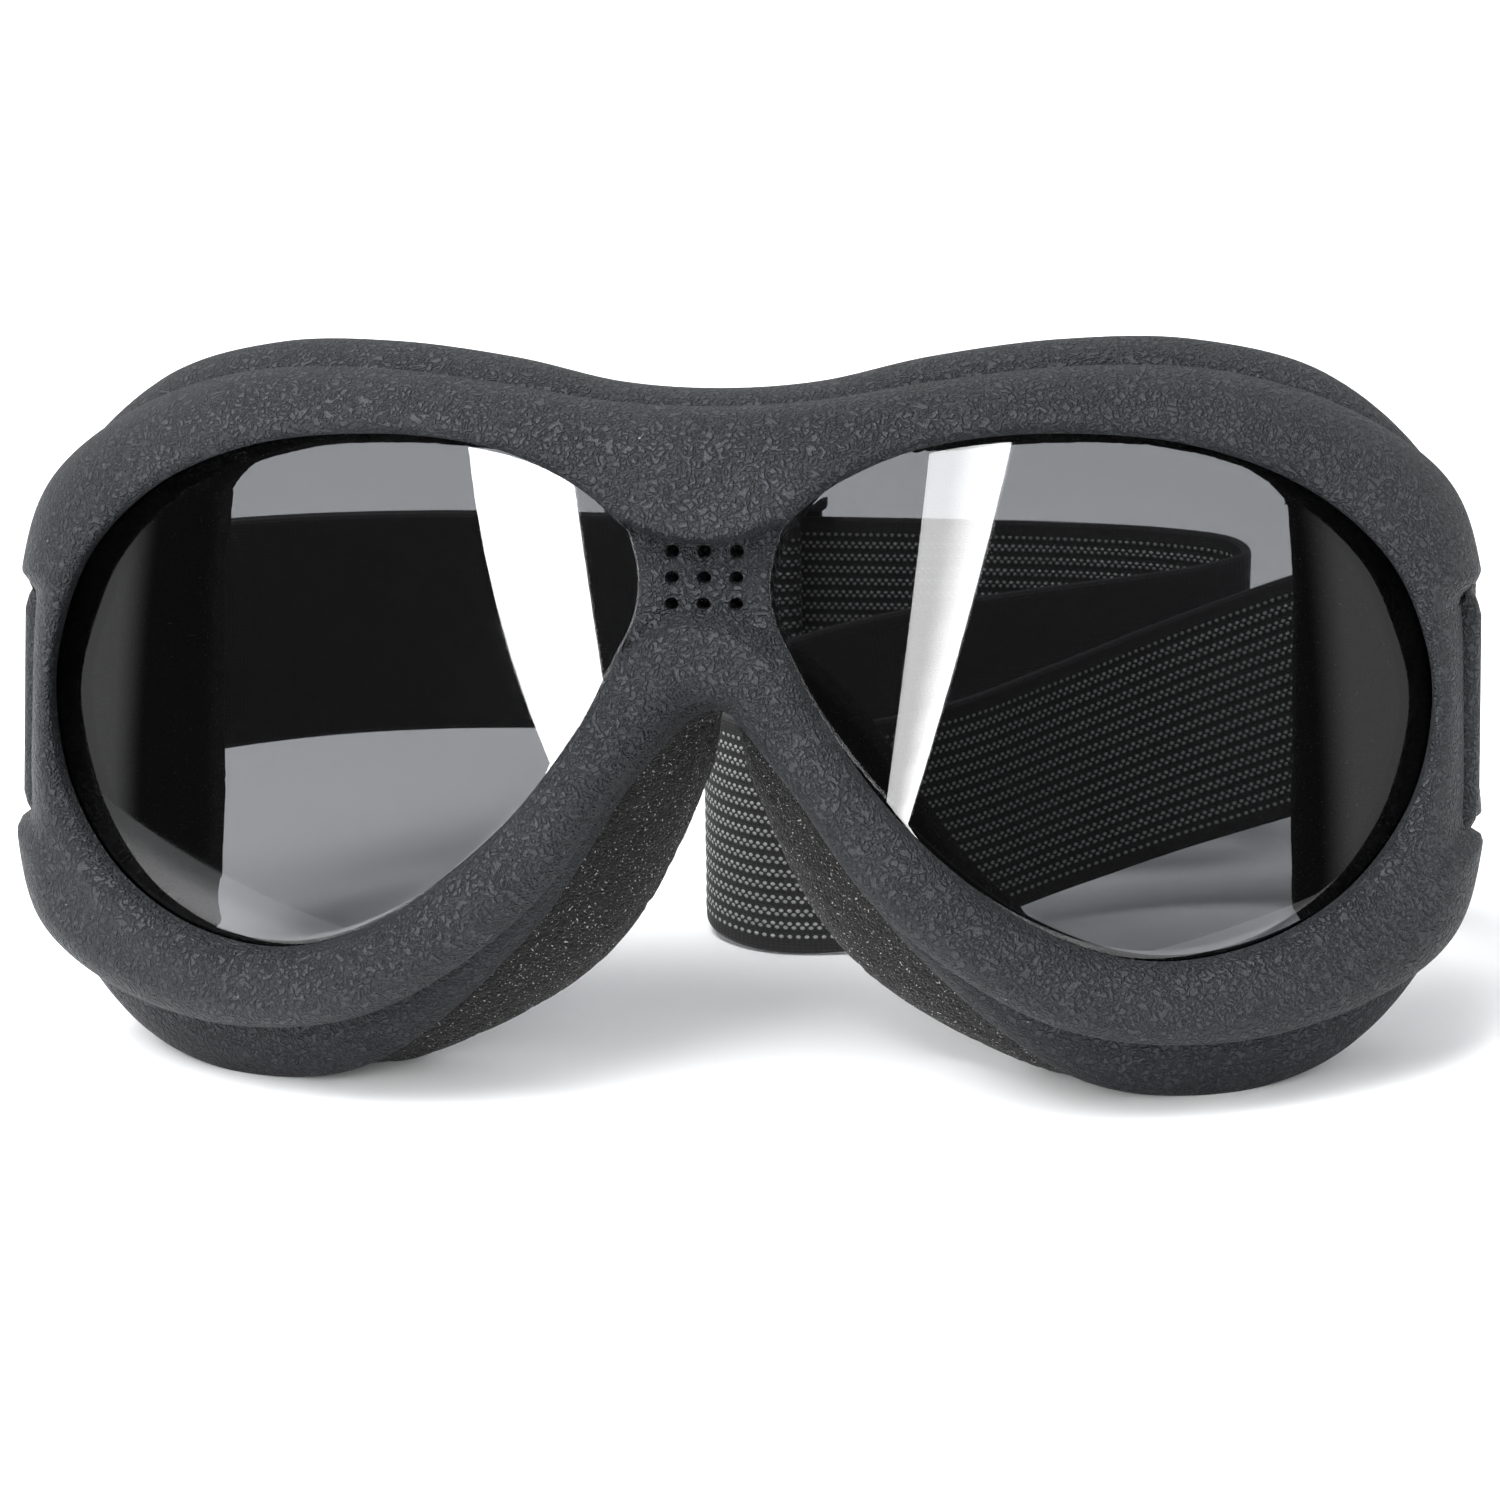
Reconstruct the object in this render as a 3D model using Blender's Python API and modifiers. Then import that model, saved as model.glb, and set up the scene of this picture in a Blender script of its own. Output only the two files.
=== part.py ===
"""Motorcycle goggles: a moulded rubber frame with two smoke lenses, face foam, a vent filter and an elastic strap.

The origin is on the surface that the goggles rest on, below the middle of the whole object. +X runs to the
wearer's left, which is the right-hand side seen from the front, +Y runs back towards the face, and +Z is up.
Sizes are in millimetres and turned into metres where a mesh is made.
"""

from math import atan2, cos, pi, sin

import bmesh
import bpy
import numpy as np
from mathutils import Matrix

MM = 0.001
GAP = 0.3                       # clearance between pieces that touch
DEPTH_SHIFT = -59.3             # moves the front of the goggles forward, so that the origin is at mid depth

# ---- driving dimensions of the mask --------------------------------------------------------------------------
WRAP_RADIUS = 152.0             # plan radius that the lenses and the front of the frame follow
RISE_RADIUS = 420.0             # upright radius of the same surface
MID_HEIGHT = 50.0               # height of the lenses' middle
BEAD_HEIGHT = 4.2               # crown of the front bead, forward of the wrap surface
REAR_DEPTH = 17.0               # rear flange behind the wrap surface at the nose
REAR_WRAP = 0.9                 # how closely the rear flange follows the wrap
# The mask is drawn upright and then leans back on its cheeks, turning about the height of its ears.
LEAN = 0.24                     # depth gained for each millimetre of height
LEANED_HEIGHT = 0.94            # what the lean leaves of an upright height

# Stations run round one eye: up over the brow, down the temple, along the cheek and up the side of the nose.
# Each holds (x, z) of the lens opening, of the front bead's outer edge and of the rear flange's outer edge.
STATIONS = (
    ((9.5, 72.5), (0.0, 84.9), (0.0, 85.1)),
    ((15.5, 77.2), (12.0, 85.5), (11.5, 85.9)),
    ((25.0, 80.8), (25.0, 87.4), (24.0, 88.7)),
    ((38.0, 81.8), (40.0, 88.6), (38.5, 90.3)),
    ((53.0, 79.8), (56.0, 87.4), (53.2, 89.7)),
    ((66.0, 74.0), (71.0, 81.9), (67.8, 85.1)),
    ((75.6, 64.8), (82.7, 72.6), (78.2, 74.4)),
    ((80.2, 53.8), (87.0, 60.5), (80.6, 60.5)),
    ((80.8, 44.0), (87.9, 45.0), (80.9, 45.5)),
    ((78.0, 34.2), (87.6, 29.5), (80.8, 29.0)),
    ((71.0, 25.6), (83.5, 17.2), (79.2, 12.5)),
    ((60.5, 20.6), (70.5, 10.6), (70.5, 2.4)),
    ((48.0, 20.2), (54.0, 9.2), (56.5, -0.7)),
    ((35.0, 26.0), (37.0, 13.6), (40.0, 3.4)),
    ((22.5, 37.0), (20.0, 26.5), (22.2, 20.2)),
    ((13.4, 49.5), (8.6, 42.5), (9.6, 40.0)),
    ((9.0, 58.2), (0.0, 51.4), (0.0, 48.0)),
)
# Between the top of the nose arch and the brow the frame meets the middle plane: the lens opening there.
BRIDGE = ((7.6, 61.8), (7.2, 65.4), (7.9, 69.4))
LAST = len(STATIONS) - 1
# At the temple the bead is narrower between two stations, so that the ear lug shows beside it.
TEMPLE = (7, 9)
TEMPLE_NOTCH = 3.0
COLUMNS_PER_STATION = 4
BRIDGE_COLUMNS = 26
# Places round the opening, counted in stations, where the frame and the lenses have a column of points.
PLACES = [i / COLUMNS_PER_STATION for i in range(LAST * COLUMNS_PER_STATION)]
PLACES += [LAST + (len(BRIDGE) + 1) * i / BRIDGE_COLUMNS for i in range(BRIDGE_COLUMNS)]

# ---- lens groove, vent and strap slot ------------------------------------------------------------------------
LENS_THICK = 2.2
LENS_FRONT = 0.9                # front of the lens behind the wrap surface
LENS_OVERLAP = 1.6              # how far the lens reaches into its groove
VENT_COLUMNS = (-3.6, 0.0, 3.6)
VENT_ROWS = (62.9, 65.9, 68.9)
VENT_RADIUS = 0.75
PANEL_HEIGHT = 0.1              # vent panel's face, forward of the wrap surface
PANEL_LOW, PANEL_HIGH = 61.4, 70.6
FILTER = (10.4, 2.4, 9.4)       # foam pad behind the vent holes: width, depth, height
FILTER_MIDDLE = (0.0, 4.9, 65.9)
EAR_OUTER = 87.0
EAR_INNER = 82.9
BAR_OUTER = 85.2                # the bar that the strap turns round, set back from the lug's outer face
EAR_HEIGHT = 44.25
EAR_BACK = 47.2
SLOT = (38.4, 42.2)             # front and back of the strap slot

# ---- foam ----------------------------------------------------------------------------------------------------
FOAM_THICK = 11.0
FOAM_LOWEST = 0.4
FOAM_WIDTH = (9.0, 10.0, 12.0, 13.0, 14.0, 15.0, 15.5, 15.5, 15.5, 15.5, 14.5, 12.5, 11.0, 10.0, 9.0, 8.0, 7.0)
# How far the foam's rear edge stands beyond the flange: drawn in over the brow, flared beside the nose.
FOAM_FLARE = (-1.2, -1.2, -1.2, -1.2, -1.2, -1.2, -1.2, -0.6, 0.0, 0.0, 0.0, 0.0, 0.5, 4.5, 11.0, 9.5, 3.5)
FOAM_CLEFT = 0.8                # half the narrowest cleft between the two flared sides

# ---- strap and slider ----------------------------------------------------------------------------------------
STRAP_WIDTH = 30.5
STRAP_THICK = 1.5
LAYER = STRAP_THICK + 0.35      # centre distance of two layers that lie together
STRAP_UPRIGHT = (4, 28)         # the strap stands upright between these points of its route, and leans beyond
# Route of the strap's middle line from the outer side of the right ear to the left one: (x, y, z).
STRAP_ROUTE = (
    (86.35, 47.0, 41.6), (86.0, 55.0, 41.2), (83.2, 67.0, 39.2), (76.5, 78.5, 35.0), (65.0, 85.5, 29.6),
    (51.0, 87.0, 24.2), (37.0, 82.5, 19.8), (24.0, 74.0, 16.8), (11.5, 66.5, 15.6), (0.5, 65.5, 15.35),
    (-7.0, 70.5, 15.9), (-9.5, 78.5, 17.0), (-6.0, 87.0, 19.0), (3.5, 93.0, 21.5), (17.0, 97.0, 24.2),
    (32.0, 100.0, 26.2), (46.0, 103.0, 27.6), (55.5, 106.2, 28.6), (60.5, 111.0, 29.6), (58.0, 117.5, 30.4),
    (49.0, 121.5, 30.8), (36.5, 123.0, 31.2), (24.0, 121.5, 31.8), (9.5, 117.875, 32.7), (-5.0, 114.25, 33.6),
    (-19.5, 110.625, 34.5), (-34.0, 107.0, 35.4), (-49.0, 101.2, 36.6), (-62.5, 91.5, 38.0), (-73.5, 79.0, 39.4),
    (-81.3, 65.5, 40.7), (-85.3, 55.0, 41.4), (-86.35, 47.0, 41.6),
)
END = len(STRAP_ROUTE) - 1
STEPS_PER_POINT = 3
NEAR_LEAD = (0, 4)              # stretches of the route, as places in the list above
NEAR_LEG = (4, 9)
FRONT_FOLD = (9, 13)
MIDDLE_LEG = (13, 17)
REAR_FOLD = (17, 21)
FAR_LEG = (21, 28)
FAR_LEAD = (28, 32)
TAIL_LEAD = (28, 30)            # stretches of the route that the tail follows, on its inner side
TAIL = (25, 28)
SLIDER_AT = 24                  # the route's point that the slider sits on
BAR_DEPTH = (3.0, 4.6)          # the slider's raised bar, in front of the strap's middle line
SLIDER_LENGTH = 15.0
SLIDER_HEIGHT = 38.2
SLIDER_CLEAR = 1.0              # between the webbing's edges and the slider's end rails


# ---- helpers -------------------------------------------------------------------------------------------------
def clear_scene():
    for item in list(bpy.data.objects):
        bpy.data.objects.remove(item, do_unlink=True)


def collection(name):
    group = bpy.data.collections.new(name)
    bpy.context.scene.collection.children.link(group)
    return group


def material(name, colour, roughness, metallic=0.0, alpha=1.0):
    surface = bpy.data.materials.new(name)
    surface.use_nodes = True
    shader = surface.node_tree.nodes["Principled BSDF"]
    shader.inputs["Base Color"].default_value = (*colour, 1.0)
    shader.inputs["Roughness"].default_value = roughness
    shader.inputs["Metallic"].default_value = metallic
    shader.inputs["Alpha"].default_value = alpha
    return surface


def place(mesh_object, group, surface):
    move_to(mesh_object, group)
    mesh_object.data.materials.append(surface)
    return mesh_object


def lean_matrix():
    """Takes the upright mask to where it stands, in metres and in the object's own frame."""
    turn = Matrix.Identity(4)
    turn[1][2] = LEAN * LEANED_HEIGHT
    turn[1][3] = -LEAN * LEANED_HEIGHT * EAR_HEIGHT * MM
    turn[2][2] = LEANED_HEIGHT
    return turn


def mesh_from(name, points, faces, smooth_angle=None, leaning=False):
    """One mesh object from points in millimetres."""
    mesh = bpy.data.meshes.new(name)
    spots = [(x * MM, (y + DEPTH_SHIFT) * MM, z * MM) for x, y, z in points]
    mesh.from_pydata(spots, [], faces)
    if leaning:
        mesh.transform(lean_matrix())
    mesh.update()
    if smooth_angle:
        mesh.shade_smooth()
        mesh.set_sharp_from_angle(angle=smooth_angle)
    return bpy.data.objects.new(name, mesh)


def face_outwards(mesh_object):
    shape = bmesh.new()
    shape.from_mesh(mesh_object.data)
    bmesh.ops.recalc_face_normals(shape, faces=shape.faces)
    shape.to_mesh(mesh_object.data)
    shape.free()


def move_to(item, group):
    for old in list(item.users_collection):
        old.objects.unlink(item)
    group.objects.link(item)


def box(name, low, high, group, leaning=False):
    """A block between two corners."""
    bpy.ops.mesh.primitive_cube_add(size=1.0)
    block = bpy.context.object
    block.name = name
    size = [(b - a) * MM for a, b in zip(low, high)]
    middle = [(a + b) / 2 * MM for a, b in zip(low, high)]
    block.data.transform(Matrix.Diagonal((*size, 1.0)))
    block.data.transform(Matrix.Translation((middle[0], middle[1] + DEPTH_SHIFT * MM, middle[2])))
    if leaning:
        block.data.transform(lean_matrix())
    move_to(block, group)
    return block


def turned_box(name, low, high, group, turn, origin):
    """A block between two corners measured from an origin, about which it is then turned in plan."""
    block = box(name, low, high, group)
    block.data.transform(Matrix.Translation((0.0, -DEPTH_SHIFT * MM, 0.0)))
    block.location = (origin[0] * MM, (origin[1] + DEPTH_SHIFT) * MM, origin[2] * MM)
    block.rotation_euler = (0.0, 0.0, turn)
    return block


def as_cutter(item):
    item.hide_render = True
    item.display_type = "WIRE"


def boolean(target, other, operation):
    step = target.modifiers.new(other.name, "BOOLEAN")
    step.operation = operation
    step.object = other
    as_cutter(other)


def round_edges(item, width, segments=2):
    step = item.modifiers.new("rounded", "BEVEL")
    step.width = width * MM
    step.segments = segments
    step.limit_method = "ANGLE"


def spline(knots, place_on):
    """Catmull-Rom curve through knots, which include one extra at each end."""
    knots = np.asarray(knots, float)
    i = min(int(place_on), len(knots) - 4)
    t = place_on - i
    a, b, c, d = knots[i:i + 4]
    return 0.5 * (2 * b + (c - a) * t + (2 * a - 5 * b + 4 * c - d) * t * t + (3 * b - a - 3 * c + d) * t ** 3)


def mirrored_knots(knots):
    """Adds the mirror images just across the middle plane, so the curve crosses it squarely."""
    first, last = knots[1], knots[-2]
    return [(-first[0], first[1]), *knots, (-last[0], last[1])]


def smoothstep(low, high, value):
    t = np.clip((value - low) / (high - low), 0.0, 1.0)
    return t * t * (3 - 2 * t)


# ---- the wrap surface and the outlines on it -----------------------------------------------------------------
def wrap(x, z):
    """Depth of the surface that the lenses and the front of the frame follow."""
    around = WRAP_RADIUS - np.sqrt(WRAP_RADIUS ** 2 - np.minimum(np.abs(x), 95.0) ** 2)
    return around + (z - MID_HEIGHT) ** 2 / (2 * RISE_RADIUS)


def rear(x):
    return REAR_DEPTH + REAR_WRAP * (WRAP_RADIUS - np.sqrt(WRAP_RADIUS ** 2 - np.minimum(np.abs(x), 95.0) ** 2))


LENS_KNOTS = [s[0] for s in STATIONS] + list(BRIDGE)
LENS_CLOSED = [LENS_KNOTS[-1], *LENS_KNOTS, LENS_KNOTS[0], LENS_KNOTS[1]]
BEAD_KNOTS = mirrored_knots([s[1] for s in STATIONS])
REAR_KNOTS = mirrored_knots([s[2] for s in STATIONS])


def unit(vector):
    return vector / np.hypot(*vector)


def normal_of(knots, u, step=0.02):
    """Unit normal of an outline, to the left of its direction: towards the outside for the lens opening."""
    low = max(u - step, 0.0)
    ahead = spline(knots, min(u + step, len(knots) - 3)) - spline(knots, low)
    along = unit(ahead)
    return np.array((-along[1], along[0]))


def lens_edge(u, outwards=0.0):
    return spline(LENS_CLOSED, u) + outwards * normal_of(LENS_CLOSED, u)


def edge_samples(knots, count, per_knot=12):
    return np.array([spline(knots, i / per_knot) for i in range(count * per_knot + 1)])


def bead_edge(u):
    """The front bead's outer edge, with its narrow stretch at the temple."""
    x, z = spline(BEAD_KNOTS, u)
    first, last = TEMPLE
    narrow = smoothstep(first, first + 0.2, u) * (1.0 - smoothstep(last - 0.2, last, u))
    return np.array((x - TEMPLE_NOTCH * narrow, z))


LENS_LINE = edge_samples(LENS_CLOSED, len(LENS_KNOTS))
BEAD_LINE = np.array([bead_edge(i / 12) for i in range(LAST * 12 + 1)])


def distance_to(line, x, z):
    """Shortest distance from a point to a chain of points, and so to the outline it follows."""
    start, end = line[:-1], line[1:]
    along = end - start
    spot = np.array((x, z))
    t = np.clip(((spot - start) * along).sum(1) / (along ** 2).sum(1), 0.0, 1.0)
    return np.hypot(*(start + along * t[:, None] - spot).T).min()


def round_over(distance, radius, drop):
    """How far a quarter-round edge has fallen at a distance in from the edge."""
    t = 1.0 - np.clip(distance / radius, 0.0, 1.0)
    return drop * (1.0 - np.sqrt(np.maximum(1.0 - t * t, 0.0)))


def front_depth(x, z):
    """Depth of the frame's front face: a rounded bead, with a recessed vent panel between the lenses."""
    to_lens = distance_to(LENS_LINE, x, z)
    to_edge = distance_to(BEAD_LINE, x, z)
    height = BEAD_HEIGHT - round_over(to_lens, 3.2, 2.4) - round_over(to_edge, 5.2, 7.2)
    panel_height = PANEL_HEIGHT - round_over(to_lens, 1.0, 0.3)
    top_of_arch = PANEL_LOW - 0.06 * x * x
    under_brow = PANEL_HIGH + 0.03 * x * x
    in_panel = smoothstep(top_of_arch - 0.5, top_of_arch + 1.1, z) * (
        1.0 - smoothstep(under_brow - 1.1, under_brow + 0.6, z)
    )
    in_panel *= smoothstep(9.5, 8.0, abs(x))
    return wrap(x, z) - (height * (1.0 - in_panel) + panel_height * in_panel)


# ---- frame ---------------------------------------------------------------------------------------------------
FRONT_ROWS = (0.0, 0.05, 0.14, 0.3, 0.5, 0.7, 0.86, 0.96, 1.0)


def frame_section(u):
    """Points round the frame's section at a place u round the lens opening."""
    opening = lens_edge(u)
    on_bridge = u > LAST
    points = []
    along_bridge = (u - LAST) / (len(BRIDGE) + 1)
    if on_bridge:
        nose, brow = BEAD_KNOTS[-2][1], BEAD_KNOTS[1][1]
        outer = np.array((0.0, nose + (brow - nose) * (1.0 - cos(pi * along_bridge)) / 2))
    else:
        outer = bead_edge(u)
    for share in FRONT_ROWS:
        x, z = opening + (outer - opening) * share
        x = 0.0 if share == 1.0 and on_bridge else x
        points.append((x, front_depth(x, z), z))
    if on_bridge:
        nose, brow = inner_corner(LAST), inner_corner(0)
        back = nose + (brow - nose) * along_bridge
        front = np.array(points[-1])
        points += [tuple(front + (back - front) * step / 8) for step in range(1, 9)]
    else:
        points += flange_section(u, outer)
    for outwards, depth in ((3.4, 6.2), (0.5, 5.4), (0.25, 3.4), (1.9, 3.4), (1.9, 0.6), (0.0, 0.6)):
        x, z = lens_edge(u, outwards)
        points.append((x, wrap(x, z) + depth, z))
    return points


def inner_corner(u):
    """Where the inside wall meets the bridge's rear face, on the middle plane."""
    return np.array(flange_section(u, bead_edge(u))[-1])


def flange_section(u, bead):
    """From the bead's outer edge back over the skirt, round the foam seat and forward along the inside."""
    edge = spline(REAR_KNOTS, u)
    bead_in = -normal_of(BEAD_KNOTS, u)
    edge_in = -normal_of(REAR_KNOTS, u)
    bead_depth = wrap(*bead) + 3.0
    edge_depth = rear(edge[0])
    from_middle = min(u, LAST - u)
    inner_share = 0.55 * min(from_middle, 1.0)
    seat = edge + 4.4 * edge_in
    towards_lens = lens_edge(u, 4.2)
    inner = seat + (towards_lens - seat) * inner_share
    inner_depth = edge_depth + (wrap(*towards_lens) + 7.0 - edge_depth) * (0.5 + inner_share * 0.4)
    spots = (
        (bead + 0.9 * bead_in, bead_depth + 1.3),
        (bead + (edge - bead) * 0.35 + 0.2 * bead_in, bead_depth + 1.3 + (edge_depth - bead_depth) * 0.25),
        (bead + (edge - bead) * 0.8 - 0.7 * edge_in, bead_depth + (edge_depth - bead_depth) * 0.72),
        (edge, edge_depth - 1.2),
        (edge + 0.9 * edge_in, edge_depth),
        (edge + 4.1 * edge_in, edge_depth),
        (seat, edge_depth - 2.4),
        (inner, inner_depth),
    )
    on_middle = 0.0 if from_middle == 0.0 else 1.0
    return [(spot[0] * on_middle, depth, spot[1]) for spot, depth in spots]


def half_frame():
    sections = [frame_section(u) for u in PLACES]
    columns = len(sections)
    ring = len(sections[0])
    points = [p for section in sections for p in section]
    faces = []
    for i in range(columns):
        for j in range(ring):
            following = (i + 1) % columns
            across = (j + 1) % ring
            corners = (i * ring + j, following * ring + j, following * ring + across, i * ring + across)
            if any(abs(points[c][0]) > 1e-6 for c in corners):
                faces.append(corners)
    return points, faces


def make_frame(group, cutters, surface):
    points, faces = half_frame()
    item = place(mesh_from("frame", points, faces, leaning=True), group, surface)
    shape = bmesh.new()
    shape.from_mesh(item.data)
    bmesh.ops.delete(shape, geom=[v for v in shape.verts if not v.link_faces], context="VERTS")
    shape.to_mesh(item.data)
    shape.free()
    face_outwards(item)
    halves = item.modifiers.new("halves", "MIRROR")
    halves.merge_threshold = 0.00002
    for side in (-1, 1):
        boolean(item, ear_lug(side, cutters), "UNION")
    for side in (-1, 1):
        boolean(item, ear_slot(side, cutters), "DIFFERENCE")
        boolean(item, ear_recess(side, cutters), "DIFFERENCE")
    pocket = box("filter_pocket", *pad_corners(GAP), cutters, leaning=True)
    boolean(item, pocket, "DIFFERENCE")
    for column in VENT_COLUMNS:
        for row in VENT_ROWS:
            boolean(item, vent_hole(column, row, cutters), "DIFFERENCE")
    under = box("floor_trim", (-120.0, -20.0, -10.0), (120.0, 80.0, 0.0), cutters)
    boolean(item, under, "DIFFERENCE")
    return item


def ear_lug(side, cutters):
    low = (EAR_INNER, 30.0, EAR_HEIGHT - 19.6)
    high = (EAR_OUTER, EAR_BACK, EAR_HEIGHT + 19.6)
    if side < 0:
        low, high = (-high[0], low[1], low[2]), (-low[0], high[1], high[2])
    lug = box(f"ear_lug_{side}", low, high, cutters, leaning=True)
    round_edges(lug, 1.2)
    return lug


def ear_slot(side, cutters):
    """The slot that the strap goes through in front of its bar."""
    height = STRAP_WIDTH / 2 + 0.9
    low = (EAR_INNER - 8.0, SLOT[0], EAR_HEIGHT - height)
    high = (EAR_OUTER + 8.0, SLOT[1], EAR_HEIGHT + height)
    if side < 0:
        low, high = (-high[0], low[1], low[2]), (-low[0], high[1], high[2])
    return box(f"ear_slot_{side}", low, high, cutters, leaning=True)


def ear_recess(side, cutters):
    """The space for the strap outside its bar, open to the rear."""
    height = STRAP_WIDTH / 2 + 0.9
    low = (BAR_OUTER, SLOT[0] + 1.0, EAR_HEIGHT - height)
    high = (EAR_OUTER + 8.0, EAR_BACK + 8.0, EAR_HEIGHT + height)
    if side < 0:
        low, high = (-high[0], low[1], low[2]), (-low[0], high[1], high[2])
    return box(f"ear_recess_{side}", low, high, cutters, leaning=True)


def pad_corners(clearance):
    """Corners of the vent filter's space, grown by a clearance and open to the rear."""
    half = [size / 2 + clearance for size in FILTER]
    low = [m - h for m, h in zip(FILTER_MIDDLE, half)]
    high = [m + h for m, h in zip(FILTER_MIDDLE, half)]
    high[1] += 4.0 if clearance else 0.0
    return low, high


def vent_hole(column, row, cutters):
    bpy.ops.mesh.primitive_cylinder_add(vertices=12, radius=VENT_RADIUS * MM, depth=16 * MM)
    hole = bpy.context.object
    hole.name = f"vent_{column}_{row}"
    hole.data.transform(Matrix.Rotation(pi / 2, 4, "X"))
    hole.data.transform(Matrix.Translation((column * MM, DEPTH_SHIFT * MM, row * MM)))
    hole.data.transform(lean_matrix())
    move_to(hole, cutters)
    return hole


# ---- lenses --------------------------------------------------------------------------------------------------
LENS_RINGS = (0.0, 0.35, 0.65, 0.85, 1.0)


def make_lens(name, side, group, surface):
    columns = len(PLACES)
    rim = [lens_edge(u, LENS_OVERLAP) for u in PLACES]
    middle = np.mean(rim, axis=0)
    points = []
    for depth in (LENS_FRONT, LENS_FRONT + LENS_THICK):
        points.append((side * middle[0], wrap(*middle) + depth, middle[1]))
        for share in LENS_RINGS[1:]:
            for spot in rim:
                x, z = middle + (spot - middle) * share
                points.append((side * x, wrap(x, z) + depth, z))
    layer = len(points) // 2
    faces = []
    for base in (0, layer):
        for i in range(columns):
            following = (i + 1) % columns
            faces.append((base, base + 1 + i, base + 1 + following))
            for ring in range(len(LENS_RINGS) - 2):
                start = base + 1 + ring * columns
                faces.append((start + i, start + columns + i, start + columns + following, start + following))
    last = 1 + (len(LENS_RINGS) - 2) * columns
    for i in range(columns):
        following = (i + 1) % columns
        faces.append((last + i, last + following, layer + last + following, layer + last + i))
    item = place(mesh_from(name, points, faces, smooth_angle=0.7, leaning=True), group, surface)
    face_outwards(item)
    return item


# ---- foam ----------------------------------------------------------------------------------------------------
def make_foam(group, surface):
    """A soft ring that follows the frame's rear flange round both eyes and over the nose."""
    columns = LAST * 3 + 1
    points = []
    for i in range(columns):
        u = i / 3
        edge = spline(REAR_KNOTS, u)
        inwards = -normal_of(REAR_KNOTS, u)
        width = np.interp(u, range(LAST + 1), FOAM_WIDTH)
        flare = np.interp(u, range(LAST + 1), FOAM_FLARE)
        front = rear(edge[0]) + GAP
        for inset, depth in (
            (0.4, 0.0), (0.4 - flare * 0.8, FOAM_THICK * 0.45), (0.8 - flare, FOAM_THICK * 0.85),
            (2.4 - flare, FOAM_THICK), (width - 2.0, FOAM_THICK), (width, FOAM_THICK * 0.8), (width, 0.0),
        ):
            x, z = edge + inwards * inset
            x = 0.0 if i in (0, columns - 1) else max(x, FOAM_CLEFT)
            points.append((x, front + depth, max(z, FOAM_LOWEST)))
    ring = 7
    faces = []
    for i in range(columns - 1):
        for j in range(ring):
            across = (j + 1) % ring
            faces.append((i * ring + j, (i + 1) * ring + j, (i + 1) * ring + across, i * ring + across))
    item = place(mesh_from("face_foam", points, faces, leaning=True), group, surface)
    face_outwards(item)
    halves = item.modifiers.new("halves", "MIRROR")
    halves.merge_threshold = 0.00002
    return item


def make_filter(group, surface):
    return place(box("vent_filter", *pad_corners(0.0), group, leaning=True), group, surface)


# ---- strap ---------------------------------------------------------------------------------------------------
def route_points(first, last):
    """Points on the strap's route between two of its listed points, each with the lean of the webbing there."""
    lean = [
        LEAN * float(1.0 - smoothstep(0, STRAP_UPRIGHT[0], i) + smoothstep(STRAP_UPRIGHT[1], END, i))
        for i in range(END + 1)
    ]
    knots = [np.array((*spot, tilt)) for spot, tilt in zip(STRAP_ROUTE, lean)]
    knots = [2 * knots[0] - knots[1], *knots, 2 * knots[-1] - knots[-2]]
    steps = (last - first) * STEPS_PER_POINT
    return [spline(knots, first + i / STEPS_PER_POINT) for i in range(steps + 1)]


def shorten(points, start, end):
    """Draws the ends of a chain of points back by a length, along its first and last stretch."""
    points = [np.array(p, float) for p in points]
    ahead = points[1] - points[0]
    points[0] = points[0] + ahead / np.linalg.norm(ahead[:3]) * start
    behind = points[-2] - points[-1]
    points[-1] = points[-1] + behind / np.linalg.norm(behind[:3]) * end
    return points


def ribbon(name, route, group, surface):
    """Webbing on edge along a route: an open strip, made thick with Solidify."""
    points = []
    for x, y, z, lean in route:
        half = STRAP_WIDTH / 2 / np.hypot(1.0, lean)
        points += [(x, y + lean * rise, z + rise) for rise in (-half, half)]
    faces = [(2 * i, 2 * i + 2, 2 * i + 3, 2 * i + 1) for i in range(len(route) - 1)]
    item = place(mesh_from(name, points, faces, smooth_angle=1.0), group, surface)
    thick = item.modifiers.new("webbing", "SOLIDIFY")
    thick.thickness = STRAP_THICK * MM
    thick.offset = 0.0
    thick.use_even_offset = True
    return item


def arc(middle, radius, start, end, count):
    """Plan points on an arc, angles in degrees."""
    for i in range(count + 1):
        angle = (start + (end - start) * i / count) * pi / 180
        yield middle[0] + radius * cos(angle), middle[1] + radius * sin(angle)


def ear_loop(side, inner_end):
    """Plan route round the ear's bar: forward outside it, through the slot, and back inside it."""
    outer = BAR_OUTER + 0.4 + STRAP_THICK / 2
    inner = EAR_INNER - 0.4 - STRAP_THICK / 2
    turn = 1.6
    front = SLOT[1] - 0.4 - STRAP_THICK / 2
    plan = [(outer, STRAP_ROUTE[0][1] - GAP)]
    plan += arc((outer - turn, front + turn), turn, 0, -90, 4)
    plan += arc((inner + turn, front + turn), turn, -90, -180, 4)
    plan.append((inner, inner_end))
    return [(side * x, y, STRAP_ROUTE[0][2], LEAN) for x, y in plan]


def offset_route(points, sideways):
    """Moves a route sideways in plan, to the left of its direction."""
    moved = []
    for i, point in enumerate(points):
        ahead = points[min(i + 1, len(points) - 1)] - points[max(i - 1, 0)]
        along = unit(ahead[:2])
        moved.append(point + np.array((-along[1] * sideways, along[0] * sideways, 0.0, 0.0)))
    return moved


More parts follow.
